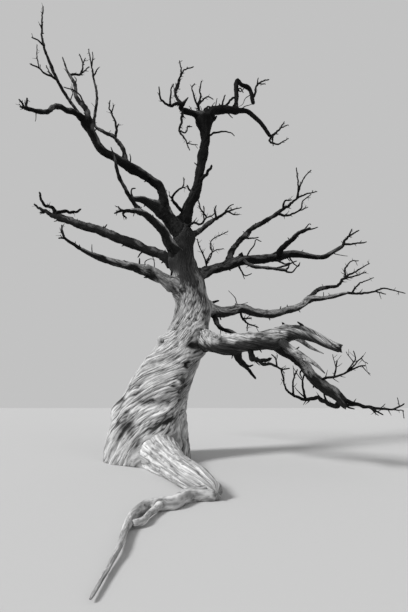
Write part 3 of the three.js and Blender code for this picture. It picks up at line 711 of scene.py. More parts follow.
# The wood swells round the foot of each limb that it carries, with a line of painted shade where they
# meet.
def swellAtForks(knots, flat, reach, height, hollowShade):
    for knot in knots:
        if knot["kind"] != "limb":
            continue
        child, size = limbLines[knot["child"]], knot["size"]
        reached = child["reach"] < knot["outAt"] + forkShape["along"] * size
        near = np.flatnonzero(np.abs(reach - knot["reach"]) < forkShape["reach"] * size)
        centres = child["centres"][reached][:: ringSkips["fork"]]
        gaps = np.linalg.norm(flat[near][:, None] - centres[None], axis=2)
        beside = np.clip(gaps.min(axis=1) - size, 0, None) / size
        height[near] += forkShape["height"] * size * np.exp(-beside / forkShape["fade"])
        hollowShade[near] += forkShape["dark"] * np.exp(-((beside / forkShape["shadeWidth"]) ** 2))


# How far a broken end is drawn out into splinters, along the limb.
def splintersOf(line, ring, turns, radius, toTip):
    circle = [np.cos(turns) * endShape["jags"], np.sin(turns) * endShape["jags"], 0 * turns]
    jags = noiseAt(np.stack(circle, 1), line["salt"] + saltOf["jags"])
    nearTip = stepUp(toTip, endShape["broken"] * line["radii"][-1], 0)
    return line["ways"][ring] * (jags * endShape["length"] * radius * nearTip)[:, None]


def carveLimb(name):
    line = limbLines[name]
    look, salt, meanRadius = line["look"], line["salt"], line["radii"].mean()
    rings = len(line["shares"]) - 1
    wanted = round(2 * math.pi * meanRadius / meshRule["sideWidth"])
    sides = look.get("sides") or int(np.clip(wanted, meshRule["leastSides"], meshRule["mostSides"]))
    rod = rodOf(name + "_wood", sides, rings)
    corners = cornersOf(rod)
    shares = corners[:, 2] + 0.5
    ring = np.rint(shares * rings).astype(int)
    spin = np.arctan2(corners[:, 1], corners[:, 0]) + line["wound"][ring]
    out = np.cos(spin)[:, None] * line["sides"][ring] + np.sin(spin)[:, None] * line["ups"][ring]
    turns = np.arctan2(out[:, 1], out[:, 0]) if name == "trunk" else spin
    reach = line["reach"][ring]
    radius = bodyRadius(line, shares, turns, reach, line["radii"][ring])
    knots = knotsOf(name, line)
    height, hollowShade, grain, patches = grainRelief(line, knots, turns, reach, radius)
    flat = line["centres"][ring] + out * radius[:, None]
    dimpleSize = lumpShape["dimples"] * meanRadius + lumpShape["leastDimple"]
    lumps = noiseAt(flat / (lumpShape["size"] * meanRadius), salt + saltOf["lumps"])
    dimples = noiseAt(flat / dimpleSize, salt + saltOf["dimples"])
    height += radius * (look["gnarl"] * lumps + look["dimples"] * dimples)
    pits = pitsOf(line, flat, shares, turns, reach)
    height -= pitShape["depth"] * mm * pits * np.clip(radius / pitShape["radius"], pitShape["thin"], 1)
    # Painted shade in the pits.
    hollowShade += pitShape["dark"] * pits
    swellAtForks(knots, flat, reach, height, hollowShade)
    # A crease dips the wood, and where it dips in it is darkened with painted shade.
    for *patch, depth in look.get("creases", []):
        dip = patchAt(line, turns, reach, *patch)
        height -= depth * mm * dip
        hollowShade += creaseShade * dip * (depth > 0)
    toTip = line["path"].length - reach
    if look.get("end") == "broken":
        splinters = splintersOf(line, ring, turns, radius, toTip)
    else:
        splinters = 0
        rounded = stepUp(toTip, endShape["rounded"] * line["radii"][-1], 0)
        height -= radius * look["tipRound"] * rounded
    rod.data.vertices.foreach_set("co", (flat + out * height[:, None] + splinters).ravel())
    bark = spread(look["bark"], shares) + look["barkBreaks"] * patches
    # Painted shade: the underside is given bark's dark grey, the more the more it faces down.
    bark += look["underShade"] * stepUp(-out[:, 2], *underShadeLevels)
    bark = patchesOf(line, "barkAndShadePatches", bark, turns, reach)
    setAttributes(rod.data, grain, hollowShade, bark)
    if flat[:, 2].min() < line["radii"].max():
        cutAtGround(rod)
    finishPiece(rod, look["finish"])
    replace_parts(rod, name)


# What stands in the ground is cut off flat there.
def cutAtGround(piece):
    bpy.ops.object.mode_set(mode="EDIT")
    bpy.ops.mesh.select_all(action="SELECT")
    bpy.ops.mesh.bisect(plane_co=(0, 0, 0), plane_no=(0, 0, 1), clear_inner=True, use_fill=True)
    bpy.ops.object.mode_set(mode="OBJECT")


def finishPiece(piece, finish):
    piece.data.materials.append(woods[finish])
    piece.data.shade_smooth()
    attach(piece, "root")


# The trunk's foot spreads in lobes where its roots leave: (heading, reach as a share, width in
# degrees). Shallow ribs wind up it, and burls stand out or, where the height is less than nothing,
# a waist stands in: (share, heading, height, span in degrees, tallness as a share).
trunkFoot = {
    "flareTop": 0.26, "flareFade": 1.2, "ribs": 5, "ribDepth": 0.05, "ribTurn": 4.2,
    "lobes": [(186, 0.30, 34), (288, 0.34, 26), (62, 0.18, 30), (122, 0.20, 26), (236, 0.14, 20)],
    "burls": [
        (0.447, 222, 85, 24, 0.019), (0.36, 228, 50, 11, 0.016), (0.20, 197, 75, 15, 0.028),
        (0.68, 345, -120, 45, 0.03),
    ],
}

# Each limb has its legs, its girth (radii from foot to tip), the limb that it has grown from and
# the share of that limb where it starts, and what differs from its kind's look. Knots are (share,
# heading, size, kind), creases (share, heading, span, thickness, depth), and patches of pits, or of
# bark together with painted shade (share, heading, span, height, amount).
trunkShape = [
    {"name": "trunk", "place": (0, 0, -200), "finish": "paleWood",
     "girth": [500, 500, 470, 410, 345, 290, 268, 265, 172, 117, 100],
     "legs": [(630, 180, 88), (450, 0, 79), (490, 8, 63), (400, 10, 65), (360, 13, 75),
              (290, 3, 85), (340, 180, 71), (300, 180, 79), (210, 0, 85), (200, 180, 85),
              (240, 180, 83)],
     "sides": 288, "spacing": 12, "ropes": 0.035, "folds": 0.024, "lines": 0.016, "splits": 0.03,
     "rough": [1, 1, 1, 1, 0.95, 0.6, 0.55, 0.9, 2.6, 3.5, 3.5],
     "gnarl": 0.035, "dimples": 0.03,
     "turn": [1.4, 1.7, 2.0, 2.1, 1.9, 1.2, 0.5, 0.35, 0.3, 0.3, 0.3],
     "bark": [0.05, 0, 0, 0, 0.02, 0.14, 0.3, 0.42, 0.8, 1, 1], "knotEvery": 9000,
     "stretch": 0.9, "pits": [0.1, 0.1, 0.1, 0.1, 0.2, 0.55, 0.8, 0.7, 0.2, 0, 0],
     "pitPatches": [(0.29, 320, 14, 170, 0.9), (0.24, 340, 20, 120, 0.7), (0.205, 310, 14, 90, 0.8),
                    (0.27, 226, 24, 110, 0.8), (0.21, 250, 16, 110, 0.6), (0.16, 250, 22, 110, 0.9)],
     "knots": [
         (0.468, 299, 58, "hole"), (0.404, 307, 50, "hole"), (0.340, 306, 56, "knob"),
         (0.275, 326, 56, "hole"), (0.436, 235, 34, "hole"),
         (0.372, 252, 30, "knob"), (0.318, 298, 34, "hole"), (0.247, 242, 34, "hole"),
         (0.268, 216, 36, "hole"), (0.273, 242, 32, "hole"), (0.308, 316, 40, "hole"),
         (0.193, 240, 40, "hole"), (0.155, 280, 36, "hole"), (0.163, 293, 26, "hole"),
         (0.355, 200, 40, "knob"), (0.240, 344, 40, "hole"), (0.205, 312, 26, "hole"),
         (0.625, 208, 40, "hole"),
         (0.565, 270, 26, "hole"), (0.568, 290, 28, "hole"), (0.505, 242, 34, "hole"),
         (0.655, 285, 30, "knob"), (0.690, 245, 32, "knob"),
         (0.520, 120, 60, "hole"), (0.400, 60, 70, "knob"), (0.300, 100, 60, "hole"),
         (0.350, 160, 55, "knob"), (0.600, 40, 40, "knob"),
     ],
     "creases": [(0.236, 260, 9, 26, 26), (0.245, 276, 10, 28, 34), (0.254, 292, 10, 28, 30),
                 (0.218, 286, 34, 60, -26), (0.345, 334, 15, 220, 34)],
     # Of these bark patches, the three along the creases near share 0.25 and the three at headings 306 to
     # 322 between shares 0.30 and 0.48 are painted shade; the others are bark.
     "barkAndShadePatches": [(0.79, 272, 30, 330, 0.7), (0.72, 212, 30, 190, -0.7), (0.60, 322, 28, 330, 0.3),
                     (0.237, 260, 10, 34, 0.4), (0.246, 277, 11, 36, 0.55), (0.255, 293, 10, 34, 0.45),
                     (0.20, 240, 34, 260, 0.22), (0.30, 322, 15, 200, 0.55), (0.16, 250, 22, 110, 0.5),
                     (0.48, 306, 13, 70, 0.5), (0.36, 306, 12, 90, 0.4)]},
]

upperLimbs = [
    {"name": "leader", "grownFrom": "trunk", "at": 0.99, "finish": "darkBark",
     "bark": [0.75, 0.9, 1], "barkBreaks": 0.3,
     "girth": [92, 87, 81, 86, 92],
     "legs": [(400, 50, 75), (490, 35, 70), (680, 55, 75), (560, 55, 75), (390, 80, 85),
              (380, 140, 80)]},
    {"name": "leader_left_arm", "grownFrom": "leader", "at": 0.97, "finish": "darkBark",
     "girth": [90, 68, 52, 42, 9],
     "legs": [(200, 205, 20), (210, 210, -10), (140, 215, 5), (100, 310, 20), (150, 335, 45)]},
    {"name": "leader_right_arm", "grownFrom": "leader", "at": 0.94, "finish": "darkBark",
     "bark": [0.9],
     "girth": [88, 92, 84, 50, 43, 37, 30],
     "legs": [(370, 25, 65), (350, 15, 30), (270, 20, 10), (270, 15, 15), (360, 10, -45),
              (380, 20, -50)]},
    {"name": "leader_hoop", "grownFrom": "leader_right_arm", "at": 0.48, "finish": "darkBark",
     "bark": [0.9],
     "girth": [43, 46, 44, 39],
     "legs": [(380, 40, 85), (520, 60, 85), (150, 15, -30), (190, 20, -15), (370, 30, -75)]},
]

leftLimbs = [
    {"name": "crook_bough", "grownFrom": "trunk", "at": 0.95, "finish": "weatheredWood",
     "end": "broken", "bark": [0.8, 0.7, 0.6, 0.7], "collar": 0.25,
     "girth": [114, 106, 74, 35],
     "legs": [(330, 200, 45), (230, 215, 35), (200, 210, 15), (140, 215, 15),
              (170, 220, -15)]},
    {"name": "left_high_bough", "grownFrom": "crook_bough", "at": 0.49, "finish": "darkBark",
     "girth": [74, 67, 72, 62, 56],
     "legs": [(260, 288, 78), (220, 210, 69), (270, 201, 27), (450, 201, 18), (300, 198, 24),
              (280, 207, 54), (330, 204, 66)]},
    {"name": "left_high_upright", "grownFrom": "left_high_bough", "at": 0.94, "finish": "darkBark",
     "girth": [50, 35, 25, 10],
     "legs": [(400, 130, 70), (570, 150, 55), (420, 140, 70), (590, 145, 60), (590, 150, 65)]},
    {"name": "left_high_spire", "grownFrom": "left_high_bough", "at": 0.98, "finish": "darkBark",
     "girth": [26, 23, 23, 18],
     "legs": [(240, 205, 40), (300, 210, 50), (270, 210, 55), (260, 210, 65), (210, 225, 60)]},
    {"name": "left_level_limb", "grownFrom": "left_high_bough", "at": 0.96, "finish": "darkBark",
     "girth": [50, 36, 30, 25],
     "legs": [(170, 230, 10), (250, 250, -30), (260, 255, -35), (410, 265, -55),
              (340, 255, -40)]},
    {"name": "left_back_limb", "grownFrom": "left_high_bough", "at": 0.5, "finish": "darkBark",
     "girth": [36, 33, 26, 23, 20],
     "legs": [(550, 135, 65), (380, 150, 55), (340, 160, 40), (340, 155, 50), (670, 115, 85),
              (530, 155, 75)]},
    {"name": "left_inner_bough", "grownFrom": "trunk", "at": 0.83, "finish": "weatheredWood",
     "bark": [0.3],
     "girth": [96, 81, 65, 48, 32],
     "legs": [(370, 220, 40), (190, 235, 50), (200, 235, 25), (200, 230, 15),
              (190, 235, -10), (150, 225, -20)]},
    {"name": "left_cross_shoot", "grownFrom": "left_inner_bough", "at": 0.86, "finish": "darkBark",
     "girth": [31, 28, 25, 20, 7],
     "legs": [(210, 210, 50), (150, 215, 50), (170, 215, 55), (160, 220, 65), (140, 235, 75),
              (220, 195, 70)]},
    {"name": "left_long_bough", "grownFrom": "trunk", "at": 0.81, "finish": "darkBark",
     "bark": [0.6, 0.6, 0.5],
     "girth": [113, 74, 82, 83, 77, 68],
     "legs": [(320, 153, 36), (250, 150, 33), (380, 153, 27), (410, 156, 30), (530, 156, 30),
              (560, 156, 24), (530, 162, 27), (460, 156, 27)]},
    {"name": "left_low_bough", "grownFrom": "trunk", "at": 0.7, "finish": "weatheredWood",
     "bark": [-0.6, -0.1, 0.2, 0.3, 0.3], "collar": 0.12, "underShade": 0.6,
     "girth": [123, 107, 86, 57, 42, 28],
     "legs": [(370, 219, 6), (200, 213, 21), (200, 210, 15), (210, 210, 6), (220, 210, 0),
              (250, 213, 3), (170, 216, 9), (160, 222, 15)]},
]

rightLimbs = [
    {"name": "right_inner_limb", "grownFrom": "trunk", "at": 0.93, "finish": "darkBark",
     "girth": [66, 47, 39],
     "legs": [(400, 65, 40), (400, 60, 40), (480, 50, 45)]},
    {"name": "right_high_bough", "grownFrom": "trunk", "at": 0.74, "finish": "darkBark",
     "bark": [-0.2, 0.1, 0.3, 0.4],
     "girth": [112, 82, 84, 72, 48, 36],
     "legs": [(310, 57, 35), (370, 39, 30), (410, 33, 30), (360, 27, 24), (360, 27, 15),
              (340, 21, 15), (540, 15, 15), (540, 9, -3), (290, 15, 27), (310, 9, 33)]},
    {"name": "right_rising_bough", "grownFrom": "right_high_bough", "at": 0.29, "finish": "darkBark",
     "girth": [54, 53, 51, 45, 37],
     "legs": [(250, 63, 66), (310, 60, 54), (400, 48, 48), (460, 39, 45), (340, 30, 36),
              (420, 30, 39), (300, 24, 42)]},
    {"name": "right_bent_snag", "grownFrom": "right_high_bough", "at": 0.59, "finish": "darkBark",
     "end": "broken",
     "girth": [56, 48, 36, 26],
     "legs": [(220, 280, 20), (270, 295, 5), (270, 290, 10), (280, 295, -10)]},
    {"name": "right_under_limb", "grownFrom": "right_high_bough", "at": 0.37, "finish": "darkBark",
     "girth": [37, 27, 23],
     "legs": [(360, 310, -35), (330, 320, -20), (310, 330, -20)]},
    {"name": "right_long_bough", "grownFrom": "trunk", "at": 0.64, "finish": "weatheredWood",
     "bark": [-0.35, -0.1, 0.0, 0.1, 0.1],
     "girth": [127, 80, 70, 66, 48, 30],
     "legs": [(360, 48, 3), (330, 39, 0), (320, 33, 18), (260, 30, 6), (260, 24, -6),
              (310, 24, 3), (530, 21, 21), (320, 21, 30), (340, 6, 9), (490, 6, 15)]},
    {"name": "right_fan_limb", "grownFrom": "right_long_bough", "at": 0.76, "finish": "darkBark",
     "girth": [43, 39, 32],
     "legs": [(250, 30, 45), (290, 35, 30), (480, 25, 15)]},
    {"name": "right_hanging_limb", "grownFrom": "right_long_bough", "at": 0.12, "finish": "darkBark",
     "girth": [45, 36, 29, 16],
     "legs": [(220, 305, -60), (190, 315, -55), (250, 330, -25), (250, 330, -40)]},
]

lowLimbs = [
    {"name": "great_bough", "grownFrom": "trunk", "at": 0.48, "finish": "paleWood",
     "creases": [(0.83, 35, 11, 190, 26), (0.66, 50, 14, 60, 12)],
     "pitPatches": [(0.62, 50, 50, 190, 0.6)],
     "turn": [5, 3, 3, 5, 5], "bark": [0.05, 0.3, 0.34, 0.34, 0.42, 0.45, 0.5], "underShade": 0.5,
     "pits": [0, 0, 0.1, 0.3, 0.6, 0.6, 0.3, 0.4, 0.3, 0.3, 0.2], "end": "broken",
     "collar": 0.12, "sides": 96, "ropes": 0.10, "splits": 0.03, "stretch": 1.8,
     "girth": [175, 156, 137, 127, 125, 111, 103, 104, 78, 56, 42],
     "legs": [(360, 330, 2), (230, 290, -13), (370, 300, -15), (230, 324, 0), (200, 324, -3),
              (180, 327, 3), (170, 324, 9), (130, 321, 9), (140, 327, -6), (180, 324, -27),
              (160, 327, -33), (100, 327, -27)]},
    {"name": "great_bough_splinter", "grownFrom": "great_bough", "at": 0.74, "finish": "paleWood",
     "end": "broken", "bark": [0.5, 0.45, 0.3],
     "girth": [35, 28, 5],
     "legs": [(250, 35, -10), (180, 30, -25), (200, 20, -20)]},
    {"name": "great_bough_spike", "grownFrom": "great_bough", "at": 0.7, "finish": "paleWood",
     "end": "broken", "bark": [0.9, 0.6, 0.45, 0.42, 0.75], "collar": 0.0, "ropes": 0.05,
     "folds": 0.03, "lines": 0.0, "splits": 0.02,
     "girth": [46, 44, 38, 22, 6],
     "legs": [(240, 290, -40), (210, 315, -35), (170, 315, -35), (130, 310, -45)]},
    {"name": "drooping_bough", "grownFrom": "great_bough", "at": 0.65, "finish": "weatheredWood",
     "end": "broken", "bark": [0.3, 0.15, 0.2, 0.4, 0.9], "ropes": 0.2,
     "girth": [60, 57, 57, 64, 66, 50],
     "legs": [(220, 27, -30), (150, 357, -36), (150, 351, -45), (170, 342, -51),
              (160, 339, -42), (150, 336, -42), (130, 339, -51)]},
    {"name": "hanging_snag", "grownFrom": "great_bough", "at": 0.46, "finish": "weatheredWood",
     "end": "broken", "bark": [0.7], "gnarl": 0.3,
     "girth": [57, 41, 8],
     "legs": [(210, 65, -45), (130, 40, -45), (190, 30, -40)]},
]

# The roots lie half in the ground, so the first two have a place of their own.
roots = [
    {"name": "front_root", "place": (60, -200, 120), "finish": "paleWood",
     "sides": 128, "grownFrom": "trunk", "at": 0.08, "collar": 0.1, "furrowShade": 0.45,
     "turn": [0.4, 0.2, 0.1], "ropes": 0.06, "folds": 0.03, "lines": 0.012, "splits": 0.02,
     "knotEvery": 9000, "pits": [0, 0, 0.2, 0.3, 0.2], "tipRound": 1.1, "stretch": 2.0,
     "girth": [250, 240, 195, 150, 122, 112, 64],
     "legs": [(1360, 290, -1), (480, 295, -3), (260, 295, -3)]},
    {"name": "creeping_root", "place": (800, -2080, 45), "finish": "paleWood",
     "furrowShade": 0.5,
     "girth": [58, 50, 38, 28, 17, 12, 7],
     "legs": [(190, 195, 0), (220, 240, -2), (170, 190, -2), (200, 255, 0), (230, 270, 0),
              (300, 275, 0), (170, 270, -3), (260, 270, -1)]},
    {"name": "root_spur", "grownFrom": "creeping_root", "at": 0.28, "finish": "paleWood",
     "furrowShade": 0.5,
     "girth": [25, 21, 18, 21],
     "legs": [(210, 255, -1), (130, 262, 0), (80, 230, 0)]},
]

# Each mass of twigs has a stem and arms that start at a share of it; "shootScale" sizes its shoots.
upperMasses = [
    {"name": "leader_left_twigs", "grownFrom": "leader_left_arm", "at": 0.8, "shootScale": 0.4,
     "girth": [34, 11],
     "legs": [(240, 215, -35), (170, 220, -35), (120, 220, 0), (90, 210, 55), (190, 250, 75)],
     "arms": [
         {"at": 0.43, "legs": [(280, 280, 70), (110, 320, 55)]},
         {"at": 0.05, "legs": [(430, 140, 65), (350, 40, 80), (330, 20, 80), (330, 135, 80)]},
         {"at": 0.05, "legs": [(390, 145, 65), (360, 55, 75), (490, 50, 75), (330, 25, 45)]},
     ]},
    {"name": "leader_drooping_twigs", "grownFrom": "leader_left_arm", "at": 0.62, "shootScale": 0.4,
     "girth": [28, 9],
     "legs": [(430, 270, -70), (330, 250, -75), (180, 320, -60), (230, 325, -65),
              (210, 320, -70)],
     "arms": [
         {"at": 0.54, "legs": [(120, 15, -5), (280, 75, 65), (90, 30, 15)]},
         {"at": 0.86, "legs": [(220, 30, 15)]},
     ]},
    {"name": "leader_crown_twigs", "grownFrom": "leader", "at": 1, "shootScale": 0.4,
     "girth": [31, 10],
     "legs": [(290, 175, 70), (360, 50, 80), (130, 180, 80), (330, 50, 80)],
     "arms": [
         {"at": 0.22, "legs": [(140, 240, 35), (270, 230, 60), (100, 320, 45)]},
         {"at": 0.34, "legs": [(260, 40, 60), (220, 50, 55), (170, 40, 15)]},
     ]},
    {"name": "leader_hoop_twigs", "grownFrom": "leader_hoop", "at": 0.96, "shootScale": 0.35,
     "girth": [31, 12],
     "legs": [(530, 25, 75), (260, 15, 50), (170, 20, 30)],
     "arms": [
         {"at": 0.54, "legs": [(180, 295, 70)]},
         {"at": 0.65, "legs": [(250, 35, 30)]},
     ]},
    {"name": "leader_drop_twigs", "grownFrom": "leader_right_arm", "at": 1, "shootScale": 0.35,
     "girth": [30, 10],
     "legs": [(160, 20, 40), (210, 25, 55), (300, 20, 60)],
     "arms": [
         {"at": 0.05, "legs": [(200, 225, -65), (180, 0, -25), (310, 10, 35)]},
         {"at": 0.1, "legs": [(430, 255, -68)]},
         {"at": 0.62, "legs": [(350, 30, 40)]},
     ]},
    {"name": "leader_side_twigs", "grownFrom": "leader", "at": 0.14, "shootScale": 0.3,
     "girth": [34, 8],
     "legs": [(160, 215, -20), (120, 220, 40), (120, 210, 55), (170, 335, 45), (90, 345, 35),
              (140, 325, 75)],
     "arms": [
         {"at": 0.5, "legs": [(60, 215, 25)]},
         {"at": 0.78, "legs": [(130, 25, 30)]},
     ]},
]

leftMasses = [
    {"name": "left_upright_twigs", "grownFrom": "left_high_upright", "at": 0.72, "shootScale": 0.3,
     "girth": [22, 10],
     "legs": [(210, 65, 50), (170, 65, 50), (410, 105, 75), (410, 145, 65)],
     "arms": [
         {"at": 0.32, "legs": [(250, 60, 65), (160, 60, 65)]},
         {"at": 0.64, "legs": [(120, 320, 50)]},
     ]},
    {"name": "left_spire_twigs", "grownFrom": "left_high_spire", "at": 1, "shootScale": 0.3,
     "girth": [18, 9],
     "legs": [(340, 175, 75), (270, 185, 85), (330, 180, 85)],
     "arms": [
         {"at": 0.06, "legs": [(90, 240, -5), (90, 215, 0)]},
         {"at": 0.48, "legs": [(120, 285, -30)]},
     ]},
    {"name": "left_spire_side_twigs", "grownFrom": "left_high_spire", "at": 0.58, "shootScale": 0.3,
     "girth": [18, 9],
     "legs": [(110, 250, -25), (130, 240, -30), (110, 215, 35), (120, 205, 10)],
     "arms": [
         {"at": 0.75, "legs": [(300, 150, 70), (330, 145, 75)]},
         {"at": 0.2, "legs": [(380, 140, 55), (170, 150, 60)]},
     ]},
    {"name": "left_level_twigs", "grownFrom": "left_level_limb", "at": 1, "shootScale": 0.25,
     "girth": [24, 11],
     "legs": [(40, 225, -15), (40, 215, -20)],
     "arms": [
         {"at": 0.05, "legs": [(150, 140, 55), (160, 120, 70)]},
         {"at": 0.5, "legs": [(60, 225, 60), (50, 265, -10)]},
     ]},
    {"name": "left_back_twigs", "grownFrom": "left_back_limb", "at": 1, "shootScale": 0.3,
     "girth": [20, 9],
     "legs": [(520, 155, 75), (470, 155, 75)],
     "arms": [
         {"at": 0.4, "legs": [(170, 295, 20), (100, 270, 65)]},
         {"at": 0.1, "legs": [(440, 85, 70)]},
     ]},
    {"name": "left_back_second_twigs", "grownFrom": "left_back_limb", "at": 0.31, "shootScale": 0.3,
     "girth": [24, 9],
     "legs": [(210, 275, 85), (260, 170, 75), (280, 155, 65), (250, 110, 75)],
     "arms": [
         {"at": 0.2, "legs": [(110, 305, 5)]},
         {"at": 0.6, "legs": [(150, 300, 20)]},
     ]},
    {"name": "left_inner_twigs", "grownFrom": "left_inner_bough", "at": 1, "shootScale": 0.25,
     "girth": [28, 10],
     "legs": [(150, 225, -25), (150, 245, -40)],
     "arms": [
         {"at": 0.25, "legs": [(70, 135, -25), (70, 50, -25)]},
         {"at": 0.45, "legs": [(120, 150, 50)]},
     ]},
    {"name": "left_long_twigs", "grownFrom": "left_long_bough", "at": 1, "shootScale": 0.35,
     "girth": [57, 20],
     "legs": [(310, 160, 30), (250, 165, 30), (220, 165, 40)],
     "arms": [
         {"at": 0.13, "legs": [(160, 255, 75), (220, 195, 20), (260, 205, 65)]},
         {"at": 0.07, "legs": [(150, 25, 65), (270, 35, 15), (200, 40, 40)]},
         {"at": 0.53, "legs": [(140, 150, 5)]},
     ]},
    {"name": "left_low_twigs", "grownFrom": "left_low_bough", "at": 1, "shootScale": 0.25,
     "girth": [26, 9],
     "legs": [(120, 205, 25), (100, 215, 30), (110, 185, 65), (90, 175, 80)],
     "arms": [
         {"at": 0.52, "legs": [(120, 250, -25)]},
         {"at": 0.62, "legs": [(130, 145, 45)]},
     ]},
]

rightMasses = [
    {"name": "right_inner_spray", "grownFrom": "right_inner_limb", "at": 1, "shootScale": 0.5,
     "girth": [35, 9],
     "legs": [(310, 35, 40), (310, 40, 40), (310, 30, 30)],
     "arms": [
         {"at": 0.12, "legs": [(150, 235, 65), (100, 305, 50)]},
         {"at": 0.56, "legs": [(180, 30, -5), (170, 45, 30)]},
         {"at": 0.38, "legs": [(180, 330, 45), (100, 325, 15)]},
     ]},
    {"name": "right_crooked_twigs", "grownFrom": "trunk", "at": 0.975, "shootScale": 0.45,
     "girth": [26, 8],
     "legs": [(240, 310, 10), (180, 325, -20), (150, 310, 20), (140, 210, 50),
              (150, 225, 65)],
     "arms": [
         {"at": 0.66, "legs": [(110, 335, 5), (80, 310, 30)]},
         {"at": 0.58, "legs": [(300, 90, 60), (200, 95, 60)]},
     ]},
    {"name": "right_curl_twigs", "grownFrom": "right_high_bough", "at": 0.15, "shootScale": 0.6,
     "girth": [17, 9],
     "legs": [(260, 250, 55), (220, 230, 50), (120, 240, 60)],
     "arms": [
         {"at": 0.24, "legs": [(250, 15, 65), (170, 120, 70), (190, 35, 65), (340, 20, 35)]},
         {"at": 0.3, "legs": [(260, 30, 60), (220, 10, 25)]},
     ]},
    {"name": "right_rising_twigs", "grownFrom": "right_rising_bough", "at": 1, "shootScale": 0.5,
     "girth": [36, 12],
     "legs": [(370, 20, 40), (280, 20, 45), (250, 10, 30), (290, 10, 20)],
     "arms": [
         {"at": 0.5, "legs": [(310, 290, 70), (410, 245, 75)]},
         {"at": 0.53, "legs": [(280, 295, 62), (240, 330, 58), (190, 340, 45)]},
         {"at": 0.05, "legs": [(180, 275, 35), (160, 320, -10)]},
     ]},
    {"name": "right_rising_side_twigs", "grownFrom": "right_rising_bough", "at": 0.93, "shootScale": 0.5,
     "girth": [30, 9],
     "legs": [(280, 320, -30), (290, 330, 10), (180, 295, 55), (200, 325, 30)],
     "arms": [
         {"at": 0.56, "legs": [(280, 20, 30)]},
     ]},
    {"name": "right_fore_twigs", "grownFrom": "right_high_bough", "at": 1, "shootScale": 0.45,
     "girth": [31, 12],
     "legs": [(220, 5, 60), (370, 10, 35)],
     "arms": [
         {"at": 0.08, "legs": [(230, 320, -15), (210, 330, -5)]},
         {"at": 0.5, "legs": [(180, 270, 25)]},
     ]},
    {"name": "right_long_fore_twigs", "grownFrom": "right_long_bough", "at": 1, "shootScale": 0.5,
     "girth": [26, 9],
     "legs": [(200, 345, -10), (250, 340, 0), (220, 345, 15), (380, 345, -20)],
     "arms": [
         {"at": 0.08, "legs": [(400, 35, 40), (430, 15, 25)]},
         {"at": 0.48, "legs": [(250, 15, -10)]},
     ]},
    {"name": "right_fan_twigs", "grownFrom": "right_fan_limb", "at": 1, "shootScale": 0.85,
     "girth": [32, 10],
     "legs": [(310, 20, 45), (300, 10, 30), (430, 5, 30)],
     "arms": [
         {"at": 0.24, "legs": [(250, 325, 5), (220, 330, 10)]},
         {"at": 0.32, "legs": [(220, 35, 75), (310, 30, 45), (250, 25, 15)]},
     ]},
    {"name": "right_long_hanging_twigs", "grownFrom": "right_long_bough", "at": 0.3, "shootScale": 0.5,
     "girth": [24, 9],
     "legs": [(210, 285, -60), (210, 295, -40), (230, 315, -25)],
     "arms": [
         {"at": 0.65, "legs": [(180, 250, -55)]},
         {"at": 0.36, "legs": [(180, 315, -10)]},
     ]},
]

lowMasses = [
    {"name": "drooping_fore_twigs", "grownFrom": "drooping_bough", "at": 1, "shootScale": 0.6,
     "girth": [24, 7],
     "legs": [(110, 0, 0), (140, 0, -10), (160, 0, -10), (110, 0, 0), (150, 0, 25)],
     "arms": [
         {"at": 0.38, "legs": [(160, 315, -30)]},
         {"at": 0.78, "legs": [(200, 30, -5)]},
     ]},
    {"name": "drooping_back_twigs", "grownFrom": "drooping_bough", "at": 0.96, "shootScale": 0.8,
     "girth": [33, 8],
     "legs": [(160, 100, -25), (120, 115, 25), (150, 130, 25), (180, 125, -5),
              (190, 125, 15), (150, 125, 35), (270, 100, 70)],
     "arms": [
         {"at": 0.66, "legs": [(210, 70, 60), (210, 45, 50)]},
         {"at": 0.5, "legs": [(220, 245, 60), (140, 290, 70)]},
     ]},
    {"name": "drooping_top_twigs", "grownFrom": "drooping_bough", "at": 0.68, "shootScale": 0.8,
     "girth": [17, 7],
     "legs": [(110, 295, 15), (100, 330, 5), (150, 340, 20), (140, 315, 20), (70, 305, 5)],
     "arms": [
         {"at": 0.61, "legs": [(200, 20, 45), (120, 65, 65)]},
         {"at": 0.65, "legs": [(160, 310, 40), (110, 280, 25)]},
         {"at": 0.36, "legs": [(130, 40, 55), (80, 5, 75)]},
     ]},
    {"name": "hanging_fork", "grownFrom": "great_bough", "at": 0.54, "shootScale": 0.4,
     "girth": [34, 7],
     "legs": [(180, 300, -75), (90, 315, -40), (120, 335, -25), (90, 320, -10),
              (110, 330, -25), (100, 330, -5)],
     "arms": [
         {"at": 0.79, "legs": [(100, 235, 80), (60, 185, 40)]},
         {"at": 0.86, "legs": [(90, 70, -50)]},
     ]},
]

